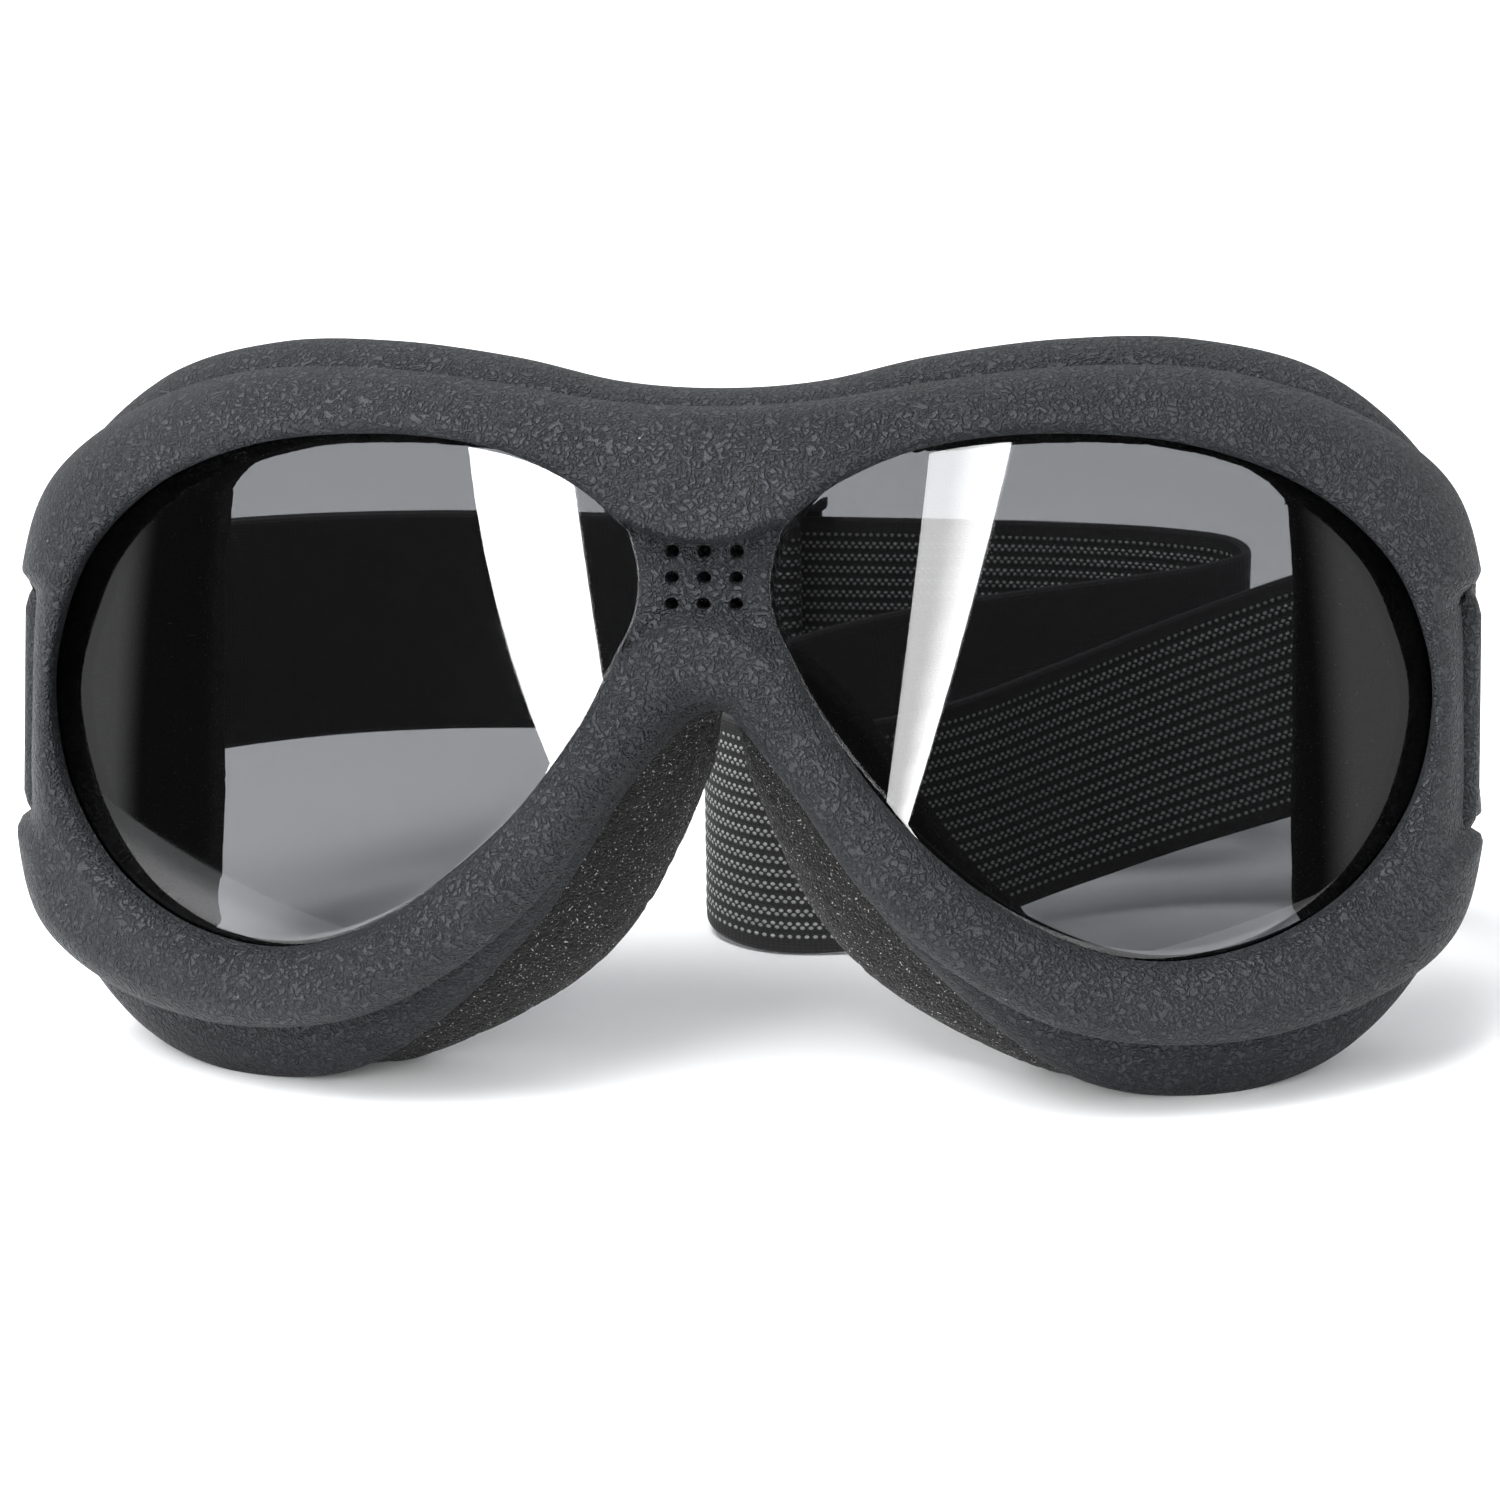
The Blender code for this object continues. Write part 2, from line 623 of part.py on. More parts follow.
def slider_frame():
    """Unit plan vectors along the slider's run and across it towards the front, and the run's rise."""
    run = np.array(STRAP_ROUTE[SLIDER_AT + 1]) - STRAP_ROUTE[SLIDER_AT]
    along = unit(run[:2])
    return along, np.array((-along[1], along[0])), run[2] / np.hypot(*run[:2])


def tail_end():
    """The tail's last stretch: behind the slider's raised bar, round it and back over itself."""
    along, ahead, rise = slider_frame()
    start = np.array(STRAP_ROUTE[SLIDER_AT])
    bar_middle = (BAR_DEPTH[0] + BAR_DEPTH[1]) / 2
    radius = bar_middle - LAYER
    local = [(9.0, LAYER), (5.0, LAYER)]
    local += [(-x, y) for x, y in arc((0.9, bar_middle), radius, -90, 90, 6)]
    local.append((14.0, bar_middle + radius))
    return [(*(start[:2] + along * a + ahead * b), start[2] + rise * a, 0.0) for a, b in local]


def tail_lead():
    """The tail from the left ear's inner side to where it lies against the strap."""
    inner = EAR_INNER - 0.4 - STRAP_THICK / 2
    start = STRAP_ROUTE[-1]
    lying = offset_route(route_points(*TAIL_LEAD), LAYER)
    leaving = [(-inner, start[1] + ahead, start[2] - 0.04 * ahead, LEAN) for ahead in (GAP, 6.5)]
    return [*leaving, *reversed(lying)]


def tail():
    lying = offset_route(route_points(*TAIL), LAYER)
    return [*reversed(lying), *tail_end()]


def make_strap(group, surface):
    ribbon("strap_loop_right", ear_loop(1, 60.0), group, surface)
    ribbon("strap_loop_left", ear_loop(-1, STRAP_ROUTE[-1][1] - GAP), group, surface)
    for name, (first, last) in {
        "strap_near_lead": NEAR_LEAD, "strap_near_leg": NEAR_LEG, "strap_front_fold": FRONT_FOLD,
        "strap_middle_leg": MIDDLE_LEG, "strap_rear_fold": REAR_FOLD, "strap_far_leg": FAR_LEG,
        "strap_far_lead": FAR_LEAD,
    }.items():
        ribbon(name, shorten(route_points(first, last), GAP / 2, GAP / 2), group, surface)
    ribbon("strap_tail_lead", shorten(tail_lead(), 0.0, GAP / 2), group, surface)
    ribbon("strap_tail", shorten(tail(), GAP / 2, 0.0), group, surface)


# ---- slider --------------------------------------------------------------------------------------------------
def make_slider(group, cutters, surface):
    """A moulded three-bar slide: two bars behind the strap and a raised bar in front that holds the tail."""
    along, _, _ = slider_frame()
    turn = atan2(along[1], along[0])
    place_at = STRAP_ROUTE[SLIDER_AT]
    half = SLIDER_LENGTH / 2
    rail_in = STRAP_WIDTH / 2 + SLIDER_CLEAR
    rail_out = SLIDER_HEIGHT / 2
    behind = (-2.7, -1.1)

    def block(name, low, high, where):
        return turned_box(name, low, high, where, turn, place_at)

    rail = block("slider", (-half, behind[0], rail_in), (half, BAR_DEPTH[1], rail_out), group)
    item = place(rail, group, surface)
    blocks = (
        block("slider_rail", (-half, behind[0], -rail_out), (half, BAR_DEPTH[1], -rail_in), cutters),
        block("slider_bar_a", (-half, behind[0], -rail_out), (-half + 2.8, behind[1], rail_out), cutters),
        block("slider_bar_b", (half - 2.8, behind[0], -rail_out), (half, behind[1], rail_out), cutters),
        block("slider_bar_c", (-1.5, BAR_DEPTH[0], -rail_out), (1.5, BAR_DEPTH[1], rail_out), cutters),
    )
    for other in blocks:
        boolean(item, other, "UNION")
    round_edges(item, 0.5, 1)
    return item


def main():
    clear_scene()
    group = collection("motorcycle_goggles")
    cutters = collection("cutters")
    rubber = material("frame_rubber", (0.045, 0.047, 0.05), 0.62)
    smoke = material("smoke_lens", (0.03, 0.03, 0.033), 0.06, alpha=0.35)
    foam = material("open_cell_foam", (0.06, 0.056, 0.052), 0.95)
    fine_foam = material("filter_foam", (0.03, 0.03, 0.03), 0.95)
    webbing = material("elastic_webbing", (0.02, 0.02, 0.021), 0.85)
    plastic = material("slider_plastic", (0.018, 0.018, 0.02), 0.35)
    make_frame(group, cutters, rubber)
    make_lens("lens_left", -1, group, smoke)
    make_lens("lens_right", 1, group, smoke)
    make_foam(group, foam)
    make_filter(group, fine_foam)
    make_strap(group, webbing)
    make_slider(group, cutters, plastic)


main()
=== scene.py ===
"""The looks of a pair of motorcycle goggles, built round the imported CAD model.

Sizes are in millimetres in the upright mask's own frame, as in the CAD source, and are turned into metres of
the row frame where a mesh is made. The outlines, the strap's route and the slider repeat the CAD source's.
"""

from math import atan2, cos, pi, radians, sin

import bmesh
import bpy
import numpy as np
from mathutils import Matrix, Vector, noise


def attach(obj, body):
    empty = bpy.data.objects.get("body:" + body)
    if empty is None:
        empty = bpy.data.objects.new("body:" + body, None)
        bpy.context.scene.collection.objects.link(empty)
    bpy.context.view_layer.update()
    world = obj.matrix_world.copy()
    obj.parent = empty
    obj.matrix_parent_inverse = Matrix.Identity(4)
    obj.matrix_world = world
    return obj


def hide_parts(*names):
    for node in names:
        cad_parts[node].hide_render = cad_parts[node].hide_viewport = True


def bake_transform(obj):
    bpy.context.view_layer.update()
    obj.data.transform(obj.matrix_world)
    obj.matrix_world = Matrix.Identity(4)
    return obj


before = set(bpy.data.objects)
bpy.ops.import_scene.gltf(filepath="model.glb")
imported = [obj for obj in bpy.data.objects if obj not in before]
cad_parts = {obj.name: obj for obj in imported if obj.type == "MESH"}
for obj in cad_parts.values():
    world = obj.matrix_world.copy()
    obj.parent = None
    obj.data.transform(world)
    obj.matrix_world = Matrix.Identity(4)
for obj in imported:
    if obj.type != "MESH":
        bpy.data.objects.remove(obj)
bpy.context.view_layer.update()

MM = 0.001
FLAT_ANGLE = 0.6                # edges sharper than this are shaded sharp, in radians
SMOOTH_ALL = 3.0
DEPTH_SHIFT = -59.3             # from the front of the goggles to the row frame's origin

# ---- the mask, as in the CAD source ----
WRAP_RADIUS = 152.0
WRAP_REACH = 95.0               # the wrap stays level beyond this far from the middle
RISE_RADIUS = 420.0
MID_HEIGHT = 50.0
BEAD_HEIGHT = 4.2
REAR_DEPTH = 17.0
REAR_WRAP = 0.9
LEAN = 0.24
LEANED_HEIGHT = 0.94
# Stations run round one eye: up over the brow, down the temple, along the cheek and up the side of the nose.
# Each holds (x, z) of the lens opening, of the front bead's outer edge and of the rear flange's outer edge.
STATIONS = (
    ((9.5, 72.5), (0.0, 84.9), (0.0, 85.1)),
    ((15.5, 77.2), (12.0, 85.5), (11.5, 85.9)),
    ((25.0, 80.8), (25.0, 87.4), (24.0, 88.7)),
    ((38.0, 81.8), (40.0, 88.6), (38.5, 90.3)),
    ((53.0, 79.8), (56.0, 87.4), (53.2, 89.7)),
    ((66.0, 74.0), (71.0, 81.9), (67.8, 85.1)),
    ((75.6, 64.8), (82.7, 72.6), (78.2, 74.4)),
    ((80.2, 53.8), (87.0, 60.5), (80.6, 60.5)),
    ((80.8, 44.0), (87.9, 45.0), (80.9, 45.5)),
    ((78.0, 34.2), (87.6, 29.5), (80.8, 29.0)),
    ((71.0, 25.6), (83.5, 17.2), (79.2, 12.5)),
    ((60.5, 20.6), (70.5, 10.6), (70.5, 2.4)),
    ((48.0, 20.2), (54.0, 9.2), (56.5, -0.7)),
    ((35.0, 26.0), (37.0, 13.6), (40.0, 3.4)),
    ((22.5, 37.0), (20.0, 26.5), (22.2, 20.2)),
    ((13.4, 49.5), (8.6, 42.5), (9.6, 40.0)),
    ((9.0, 58.2), (0.0, 51.4), (0.0, 48.0)),
)
BRIDGE = ((7.6, 61.8), (7.2, 65.4), (7.9, 69.4))
LAST = len(STATIONS) - 1
TEMPLE = (7, 9)
TEMPLE_NOTCH = 3.0
COLUMNS_PER_STATION = 16
BRIDGE_COLUMNS = 96
PLACES = np.concatenate((
    np.arange(LAST * COLUMNS_PER_STATION) / COLUMNS_PER_STATION,
    LAST + (len(BRIDGE) + 1) * np.arange(BRIDGE_COLUMNS) / BRIDGE_COLUMNS,
))
FRONT_ROWS = (1.0 - np.cos(np.linspace(0.0, pi, 27))) / 2

LENS_THICK = 2.2
LENS_FRONT = 0.9
LENS_OVERLAP = 1.6
LENS_RINGS = 26
GROOVE = ((3.4, 6.2), (0.5, 5.4), (0.25, 3.4), (1.9, 3.4), (1.9, 0.6), (0.0, 0.6))
VENT_COLUMNS = (-3.6, 0.0, 3.6)
VENT_ROWS = (62.9, 65.9, 68.9)
VENT_RADIUS = 0.75
PANEL_HEIGHT = 0.1              # vent panel's face, forward of the wrap surface
PANEL_LOW, PANEL_HIGH = 61.4, 70.6
ARCH_CURVE, BROW_CURVE = 0.06, 0.03
# Rounded edges of the front, each as (radius, drop): the bead's inner and outer edges and the panel's sides.
LENS_LIP = (3.2, 2.4)
BEAD_SHOULDER = (5.2, 7.2)
PANEL_LIP = (1.0, 0.3)
FILTER = (10.4, 2.4, 9.4)
FILTER_MIDDLE = (0.0, 4.9, 65.9)
EAR_OUTER = 87.0
EAR_INNER = 82.9
BAR_OUTER = 85.2
EAR_HEIGHT = 44.25
EAR_BACK = 47.2
LUG_FRONT = 28.0
LUG_HALF = 19.6
LUG_DRAW = 2.2                  # how far a lug's outer face draws in at its top and bottom
LUG_DRAW_REACH = (11.5, 17.0)
SLOT = (38.4, 42.2)
SLOT_CLEAR = 0.9

FOAM_GAP = 0.3
FOAM_THICK = 11.0
FOAM_LOWEST = 0.4
FOAM_WIDTH = (
    9.0, 10.0, 12.0, 13.0, 14.0, 15.0, 15.5, 15.5, 15.5, 15.5, 14.5, 12.5, 11.0, 10.0, 9.0, 8.0, 7.0,
)
# How far the foam's rear edge stands beyond the flange: drawn in over the brow, flared beside the nose.
FOAM_FLARE = (-1.2, -1.2, -1.2, -1.2, -1.2, -1.2, -1.2, -0.6, 0.0, 0.0, 0.0, 0.0, 0.5, 4.5, 11.0, 9.5, 3.5)
FOAM_CLEFT = 0.8                # half the narrowest cleft between the two flared sides
FOAM_COLUMNS_PER_STATION = 16

# ---- the strap and its slider, as in the CAD source ----
STRAP_WIDTH = 30.5
STRAP_THICK = 1.5
LAYER = STRAP_THICK + 0.35
STRAP_UPRIGHT = (4, 28)
STRAP_ROUTE = (
    (86.35, 47.0, 41.6), (86.0, 55.0, 41.2), (83.2, 67.0, 39.2), (76.5, 78.5, 35.0), (65.0, 85.5, 29.6),
    (51.0, 87.0, 24.2), (37.0, 82.5, 19.8), (24.0, 74.0, 16.8), (11.5, 66.5, 15.6), (0.5, 65.5, 15.35),
    (-7.0, 70.5, 15.9), (-9.5, 78.5, 17.0), (-6.0, 87.0, 19.0), (3.5, 93.0, 21.5), (17.0, 97.0, 24.2),
    (32.0, 100.0, 26.2), (46.0, 103.0, 27.6), (55.5, 106.2, 28.6), (60.5, 111.0, 29.6), (58.0, 117.5, 30.4),
    (49.0, 121.5, 30.8), (36.5, 123.0, 31.2), (24.0, 121.5, 31.8), (9.5, 117.875, 32.7), (-5.0, 114.25, 33.6),
    (-19.5, 110.625, 34.5), (-34.0, 107.0, 35.4), (-49.0, 101.2, 36.6), (-62.5, 91.5, 38.0),
    (-73.5, 79.0, 39.4), (-81.3, 65.5, 40.7), (-85.3, 55.0, 41.4), (-86.35, 47.0, 41.6),
)
END = len(STRAP_ROUTE) - 1
SLIDER_AT = 24
BAR_DEPTH = (3.0, 4.6)
SLIDER_LENGTH = 15.0
SLIDER_HEIGHT = 38.2
SLIDER_CLEAR = 1.0
SLIDER_BAR = 2.8

ROUTE_STEPS = 9                 # sections of webbing between two points of the route
DOT_ROWS = 16
ROW_PITCH = 1.75
DOT_PITCH = 1.0
POINTS_PER_ROW = 6
RIB_HEIGHT = 0.09
THREAD_RADIUS = 0.17
TACK_TURNS = 60
TACK_REACH = 1.1


# ---- curves and outlines ----
def spline(knots, at):
    """Catmull-Rom curve through knots, which include one extra at each end."""
    knots = np.asarray(knots, float)
    at = np.atleast_1d(np.asarray(at, float))
    i = np.minimum(at.astype(int), len(knots) - 4)
    t = (at - i)[:, None]
    a, b, c, d = (knots[i + k] for k in range(4))
    square = (2 * a - 5 * b + 4 * c - d) * t * t
    cube = (3 * b - a - 3 * c + d) * t ** 3
    return 0.5 * (2 * b + (c - a) * t + square + cube)


def mirrored_knots(knots):
    """Adds the mirror images just across the middle plane, so the curve crosses it squarely."""
    first, last = knots[1], knots[-2]
    return [(-first[0], first[1]), *knots, (-last[0], last[1])]


def smoothstep(low, high, value):
    t = np.clip((value - low) / (high - low), 0.0, 1.0)
    return t * t * (3 - 2 * t)


def wrapped_back(x):
    """How far a round face of the wrap's radius falls back at a place beside the middle."""
    return WRAP_RADIUS - np.sqrt(WRAP_RADIUS ** 2 - np.minimum(np.abs(x), WRAP_REACH) ** 2)


def wrap(x, z):
    """Depth of the surface that the lenses and the front of the frame follow."""
    return wrapped_back(x) + (z - MID_HEIGHT) ** 2 / (2 * RISE_RADIUS)


def rear(x):
    """Depth of the frame's rear edge, which the foam sits on."""
    return REAR_DEPTH + REAR_WRAP * wrapped_back(x)


LENS_KNOTS = [s[0] for s in STATIONS] + list(BRIDGE)
LENS_CLOSED = [LENS_KNOTS[-1], *LENS_KNOTS, LENS_KNOTS[0], LENS_KNOTS[1]]
BEAD_KNOTS = mirrored_knots([s[1] for s in STATIONS])
REAR_KNOTS = mirrored_knots([s[2] for s in STATIONS])


def normal_of(knots, at, step=0.02):
    """Unit normals of an outline, to the left of its direction: outwards for the lens opening."""
    at = np.atleast_1d(at)
    ahead = spline(knots, np.minimum(at + step, len(knots) - 3)) - spline(knots, np.maximum(at - step, 0.0))
    along = ahead / np.linalg.norm(ahead, axis=1)[:, None]
    return np.stack((-along[:, 1], along[:, 0]), 1)


def lens_edge(at, outwards=0.0):
    return spline(LENS_CLOSED, at) + outwards * normal_of(LENS_CLOSED, at)


def bead_edge(at):
    """The front bead's outer edge, with its narrow stretch at the temple."""
    edge = spline(BEAD_KNOTS, at)
    first, last = TEMPLE
    narrow = smoothstep(first - 0.05, first + 0.16, at) * (1.0 - smoothstep(last - 0.16, last + 0.05, at))
    edge[:, 0] -= TEMPLE_NOTCH * narrow
    return edge


LENS_LINE = spline(LENS_CLOSED, np.linspace(0, len(LENS_KNOTS), 12 * len(LENS_KNOTS) + 1))
BEAD_LINE = bead_edge(np.linspace(0, LAST, 16 * LAST + 1))


def distance_to(line, spots):
    """Shortest distance from each spot to a chain of points, and so to the outline that it follows."""
    start, along = line[:-1], np.diff(line, axis=0)
    nearest = np.full(len(spots), np.inf)
    for a, d in zip(start, along):
        t = np.clip((spots - a) @ d / (d @ d), 0.0, 1.0)
        nearest = np.minimum(nearest, np.hypot(*(a + t[:, None] * d - spots).T))
    return nearest


def round_over(distance, radius, drop):
    """How far a quarter-round edge has fallen at a distance in from the edge."""
    t = 1.0 - np.clip(distance / radius, 0.0, 1.0)
    return drop * (1.0 - np.sqrt(np.maximum(1.0 - t * t, 0.0)))


def front_depth(spots):
    """Depth of the frame's front face: a rounded bead, with a recessed vent panel between the lenses."""
    x, z = spots.T
    to_lens = distance_to(LENS_LINE, spots)
    to_edge = distance_to(BEAD_LINE, spots)
    height = BEAD_HEIGHT - round_over(to_lens, *LENS_LIP) - round_over(to_edge, *BEAD_SHOULDER)
    panel_height = PANEL_HEIGHT - round_over(to_lens, *PANEL_LIP)
    top_of_arch = PANEL_LOW - ARCH_CURVE * x * x
    under_brow = PANEL_HIGH + BROW_CURVE * x * x
    in_panel = smoothstep(top_of_arch - 0.5, top_of_arch + 1.1, z)
    in_panel *= 1.0 - smoothstep(under_brow - 1.1, under_brow + 0.6, z)
    in_panel *= smoothstep(9.5, 8.0, np.abs(x))
    return wrap(x, z) - (height * (1.0 - in_panel) + panel_height * in_panel)


# ---- mesh helpers ----
def lean_matrix():
    """Takes the upright mask to where it stands, in metres."""
    turn = Matrix.Identity(4)
    turn[1][2] = LEAN * LEANED_HEIGHT
    turn[1][3] = -LEAN * LEANED_HEIGHT * EAR_HEIGHT * MM
    turn[2][2] = LEANED_HEIGHT
    return turn


def grid_faces(columns, ring, close_columns=False, close_ring=True):
    """Quads between neighbouring columns of points, each column a ring."""
    wide = columns if close_columns else columns - 1
    tall = ring if close_ring else ring - 1
    i, j = np.meshgrid(np.arange(wide), np.arange(tall), indexing="ij")
    after, above = (i + 1) % columns, (j + 1) % ring
    corners = (i * ring + j, after * ring + j, after * ring + above, i * ring + above)
    return np.stack([c.ravel() for c in corners], 1)


def mesh_from(name, points, faces, leaning=False):
    """One mesh object from points in millimetres."""
    mesh = bpy.data.meshes.new(name)
    spots = (np.asarray(points, float).reshape(-1, 3) + (0.0, DEPTH_SHIFT, 0.0)) * MM
    mesh.from_pydata(spots.tolist(), [], [tuple(map(int, face)) for face in faces])
    if leaning:
        mesh.transform(lean_matrix())
    mesh.update()
    return placed(name, mesh)


def placed(name, data):
    """A new object in the scene."""
    item = bpy.data.objects.new(name, data)
    bpy.context.scene.collection.objects.link(item)
    return item


def edit(item, *steps):
    """Runs bmesh steps on an object's mesh."""
    shape = bmesh.new()
    shape.from_mesh(item.data)
    for step in steps:
        step(shape)
    shape.to_mesh(item.data)
    shape.free()


def face_outwards(shape):
    bmesh.ops.recalc_face_normals(shape, faces=shape.faces)


def drop_loose(shape):
    bmesh.ops.delete(shape, geom=[v for v in shape.verts if not v.link_faces], context="VERTS")


def real_mesh(item):
    """A mesh of the object's final shape, with its modifiers or its curve's thickness in it."""
    bpy.context.view_layer.update()
    return bpy.data.meshes.new_from_object(item.evaluated_get(bpy.context.evaluated_depsgraph_get()))


def applied(item, smooth_angle):
    """The object with its modifiers made real, shaded smooth except across sharp edges."""
    real = real_mesh(item)
    item.modifiers.clear()
    item.data = real
    real.shade_smooth()
    real.set_sharp_from_angle(angle=smooth_angle)
    return item


def round_edges(item, radius, segments, sharper_than=30):
    step = item.modifiers.new("rounding", "BEVEL")
    step.width = radius * MM
    step.segments = segments
    step.angle_limit = radians(sharper_than)
    return applied(item, FLAT_ANGLE)


def mirror(item):
    """Adds the other half of the goggles."""
    halves = item.modifiers.new("halves", "MIRROR")
    halves.merge_threshold = 0.00002


def subdivide(item, kind, levels):
    finer = item.modifiers.new("finer", "SUBSURF")
    finer.subdivision_type = kind
    finer.levels = finer.render_levels = levels
    applied(item, SMOOTH_ALL)


def joined(name, items):
    """One object from several, which are used up."""
    shape = bmesh.new()
    for item in items:
        item.data.transform(item.matrix_world)
        shape.from_mesh(item.data)
        bpy.data.objects.remove(item)
    mesh = bpy.data.meshes.new(name)
    shape.to_mesh(mesh)
    shape.free()
    return placed(name, mesh)


def block(low, high, rounding=0.0, segments=4, leaning=True):
    """A block between two corners in the mask's frame, with rounded edges."""
    size = np.subtract(high, low)
    middle = np.add(high, low) / 2
    bpy.ops.mesh.primitive_cube_add(size=1.0)
    item = bpy.context.object
    item.data.transform(Matrix.Diagonal((*(size * MM), 1.0)))
    item.data.transform(Matrix.Translation((middle + (0.0, DEPTH_SHIFT, 0.0)) * MM))
    if leaning:
        item.data.transform(lean_matrix())
    if rounding:
        round_edges(item, rounding, segments)
    return item


def cut(item, tool, operation):
    """Joins or subtracts a tool, which is used up."""
    step = item.modifiers.new("cut", "BOOLEAN")
    step.operation = operation
    step.object = tool
    applied(item, FLAT_ANGLE)
    bpy.data.objects.remove(tool)


def dress(item, surface):
    item.data.materials.clear()
    item.data.materials.append(surface)
    return item


def smoothed_chain(points):
    """Chaikin's corner cutting, twice, along each column's chain of points. The ends stay."""
    for _ in range(2):
        a, b = points[:, :-1], points[:, 1:]
        pairs = np.stack((0.75 * a + 0.25 * b, 0.25 * a + 0.75 * b), 2)
        inner = pairs.reshape(len(points), -1, points.shape[2])
        points = np.concatenate((points[:, :1], inner, points[:, -1:]), 1)
    return points


# ---- frame ----
def flange_points(at):
    """From the bead's outer edge back over the skirt, round the foam seat and forward along the inside."""
    bead, edge = bead_edge(at), spline(REAR_KNOTS, at)
    bead_in, edge_in = -normal_of(BEAD_KNOTS, at), -normal_of(REAR_KNOTS, at)
    bead_depth = wrap(*bead.T) + 3.0
    edge_depth = rear(edge[:, 0])
    from_middle = np.minimum(at, LAST - at)
    share = 0.55 * np.minimum(from_middle, 1.0)
    seat = edge + 4.4 * edge_in
    towards_lens = lens_edge(at, 4.2)
    inner = seat + (towards_lens - seat) * share[:, None]
    inner_depth = edge_depth + (wrap(*towards_lens.T) + 7.0 - edge_depth) * (0.5 + share * 0.4)
    fall = edge_depth - bead_depth
    chain = (
        (bead + 1.7 * bead_in, bead_depth + 1.2),
        (bead + (edge - bead) * 0.35 - 0.2 * bead_in, bead_depth + 1.4 + fall * 0.16),
        (bead + (edge - bead) * 0.8 - 0.9 * edge_in, bead_depth + fall * 0.62),
        (edge, edge_depth - 1.2),
        (edge + 0.9 * edge_in, edge_depth),
        (edge + 4.1 * edge_in, edge_depth),
        (seat, edge_depth - 2.4),
        (inner, inner_depth),
    )
    on_middle = np.where(from_middle == 0.0, 0.0, 1.0)
    return np.stack([np.stack((spot[:, 0] * on_middle, depth, spot[:, 1]), 1) for spot, depth in chain], 1)


def bridge_outer(at):
    """Where the bridge's front meets the middle plane, between the nose arch and the brow."""
    nose, brow = BEAD_KNOTS[-2][1], BEAD_KNOTS[1][1]
    along = (at - LAST) / (len(BRIDGE) + 1)
    return np.stack((np.zeros(len(at)), nose + (brow - nose) * (1.0 - np.cos(pi * along)) / 2), 1)


def frame_sections():
    """The frame's section at each place round the lens opening: (place, point, xyz)."""
    opening = lens_edge(PLACES)
    on_bridge = PLACES > LAST
    outer = np.where(on_bridge[:, None], bridge_outer(PLACES), bead_edge(np.minimum(PLACES, LAST)))
    spots = opening[:, None] + (outer - opening)[:, None] * FRONT_ROWS[None, :, None]
    spots[on_bridge, -1, 0] = 0.0
    depth = front_depth(spots.reshape(-1, 2)).reshape(spots.shape[:2])
    front = np.stack((spots[..., 0], depth, spots[..., 1]), 2)

    chain = flange_points(np.minimum(PLACES, LAST))
    nose, brow = flange_points(np.array([float(LAST)]))[0, -1], flange_points(np.array([0.0]))[0, -1]
    along = ((PLACES - LAST) / (len(BRIDGE) + 1))[:, None]
    back = nose + (brow - nose) * along
    for step in range(8):
        straight = front[:, -1] + (back - front[:, -1]) * (step + 1) / 8
        chain[:, step] = np.where(on_bridge[:, None], straight, chain[:, step])

    groove = []
    for outwards, behind in GROOVE:
        edge = lens_edge(PLACES, outwards)
        groove.append(np.stack((edge[:, 0], wrap(*edge.T) + behind, edge[:, 1]), 1))
    groove = np.stack(groove, 1)
    skirt = smoothed_chain(np.concatenate((front[:, -1:], chain, groove[:, :1]), 1))
    return np.concatenate((front, skirt[:, 1:], groove[:, 1:]), 1)


def make_frame(surface):
    sections = frame_sections()
    columns, ring = sections.shape[:2]
    faces = grid_faces(columns, ring, close_columns=True)
    points = sections.reshape(-1, 3)
    off_middle = np.abs(points[:, 0]) > 1e-6
    faces = faces[off_middle[faces].any(1)]
    item = mesh_from("goggle_frame", points, faces, leaning=True)
    edit(item, drop_loose, face_outwards)
    mirror(item)
    applied(item, FLAT_ANGLE)
    cut(item, joined("lugs", [ear_lug(side) for side in (-1, 1)]), "UNION")
    under = block((-120.0, -20.0, -10.0), (120.0, 80.0, 0.0), leaning=False)
    cut(item, joined("slots", [ear_slot(-1), ear_slot(1), filter_pocket(), under]), "DIFFERENCE")
    cut(item, joined("recesses", [ear_recess(-1), ear_recess(1)]), "DIFFERENCE")
    holes = [vent_hole(column, row) for column in VENT_COLUMNS for row in VENT_ROWS]
    cut(item, joined("holes", holes), "DIFFERENCE")
    dress(item, surface)
    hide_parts("frame")
    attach(item, "mask")


def on_side(side, low, high):
    """The same block beside the right ear, or mirrored beside the left one."""
    if side > 0:
        return low, high
    return (-high[0], low[1], low[2]), (-low[0], high[1], high[2])


def ear_lug(side):
    """The block that holds the strap's bar. Its outer face draws in towards its top and bottom."""
    low, high = (EAR_INNER, LUG_FRONT, EAR_HEIGHT - LUG_HALF), (EAR_OUTER, EAR_BACK, EAR_HEIGHT + LUG_HALF)
    item = block(*on_side(side, low, high))
    edit(item, lambda shape: bmesh.ops.subdivide_edges(
        shape, edges=[e for e in shape.edges if abs(e.verts[0].co.x - e.verts[1].co.x) < 1e-6
                      and abs(e.verts[0].co.z - e.verts[1].co.z) > 0.01], cuts=23, use_grid_fill=True))
    middle = EAR_HEIGHT * LEANED_HEIGHT
    for vertex in item.data.vertices:
        if abs(vertex.co.x) > (EAR_INNER + EAR_OUTER) / 2 * MM:
            from_middle = abs(vertex.co.z / MM - middle) / LEANED_HEIGHT
            vertex.co.x -= side * LUG_DRAW * MM * float(smoothstep(*LUG_DRAW_REACH, from_middle))
    edit(item, round_lug_front)
    return round_edges(item, 1.1, 4, sharper_than=50)


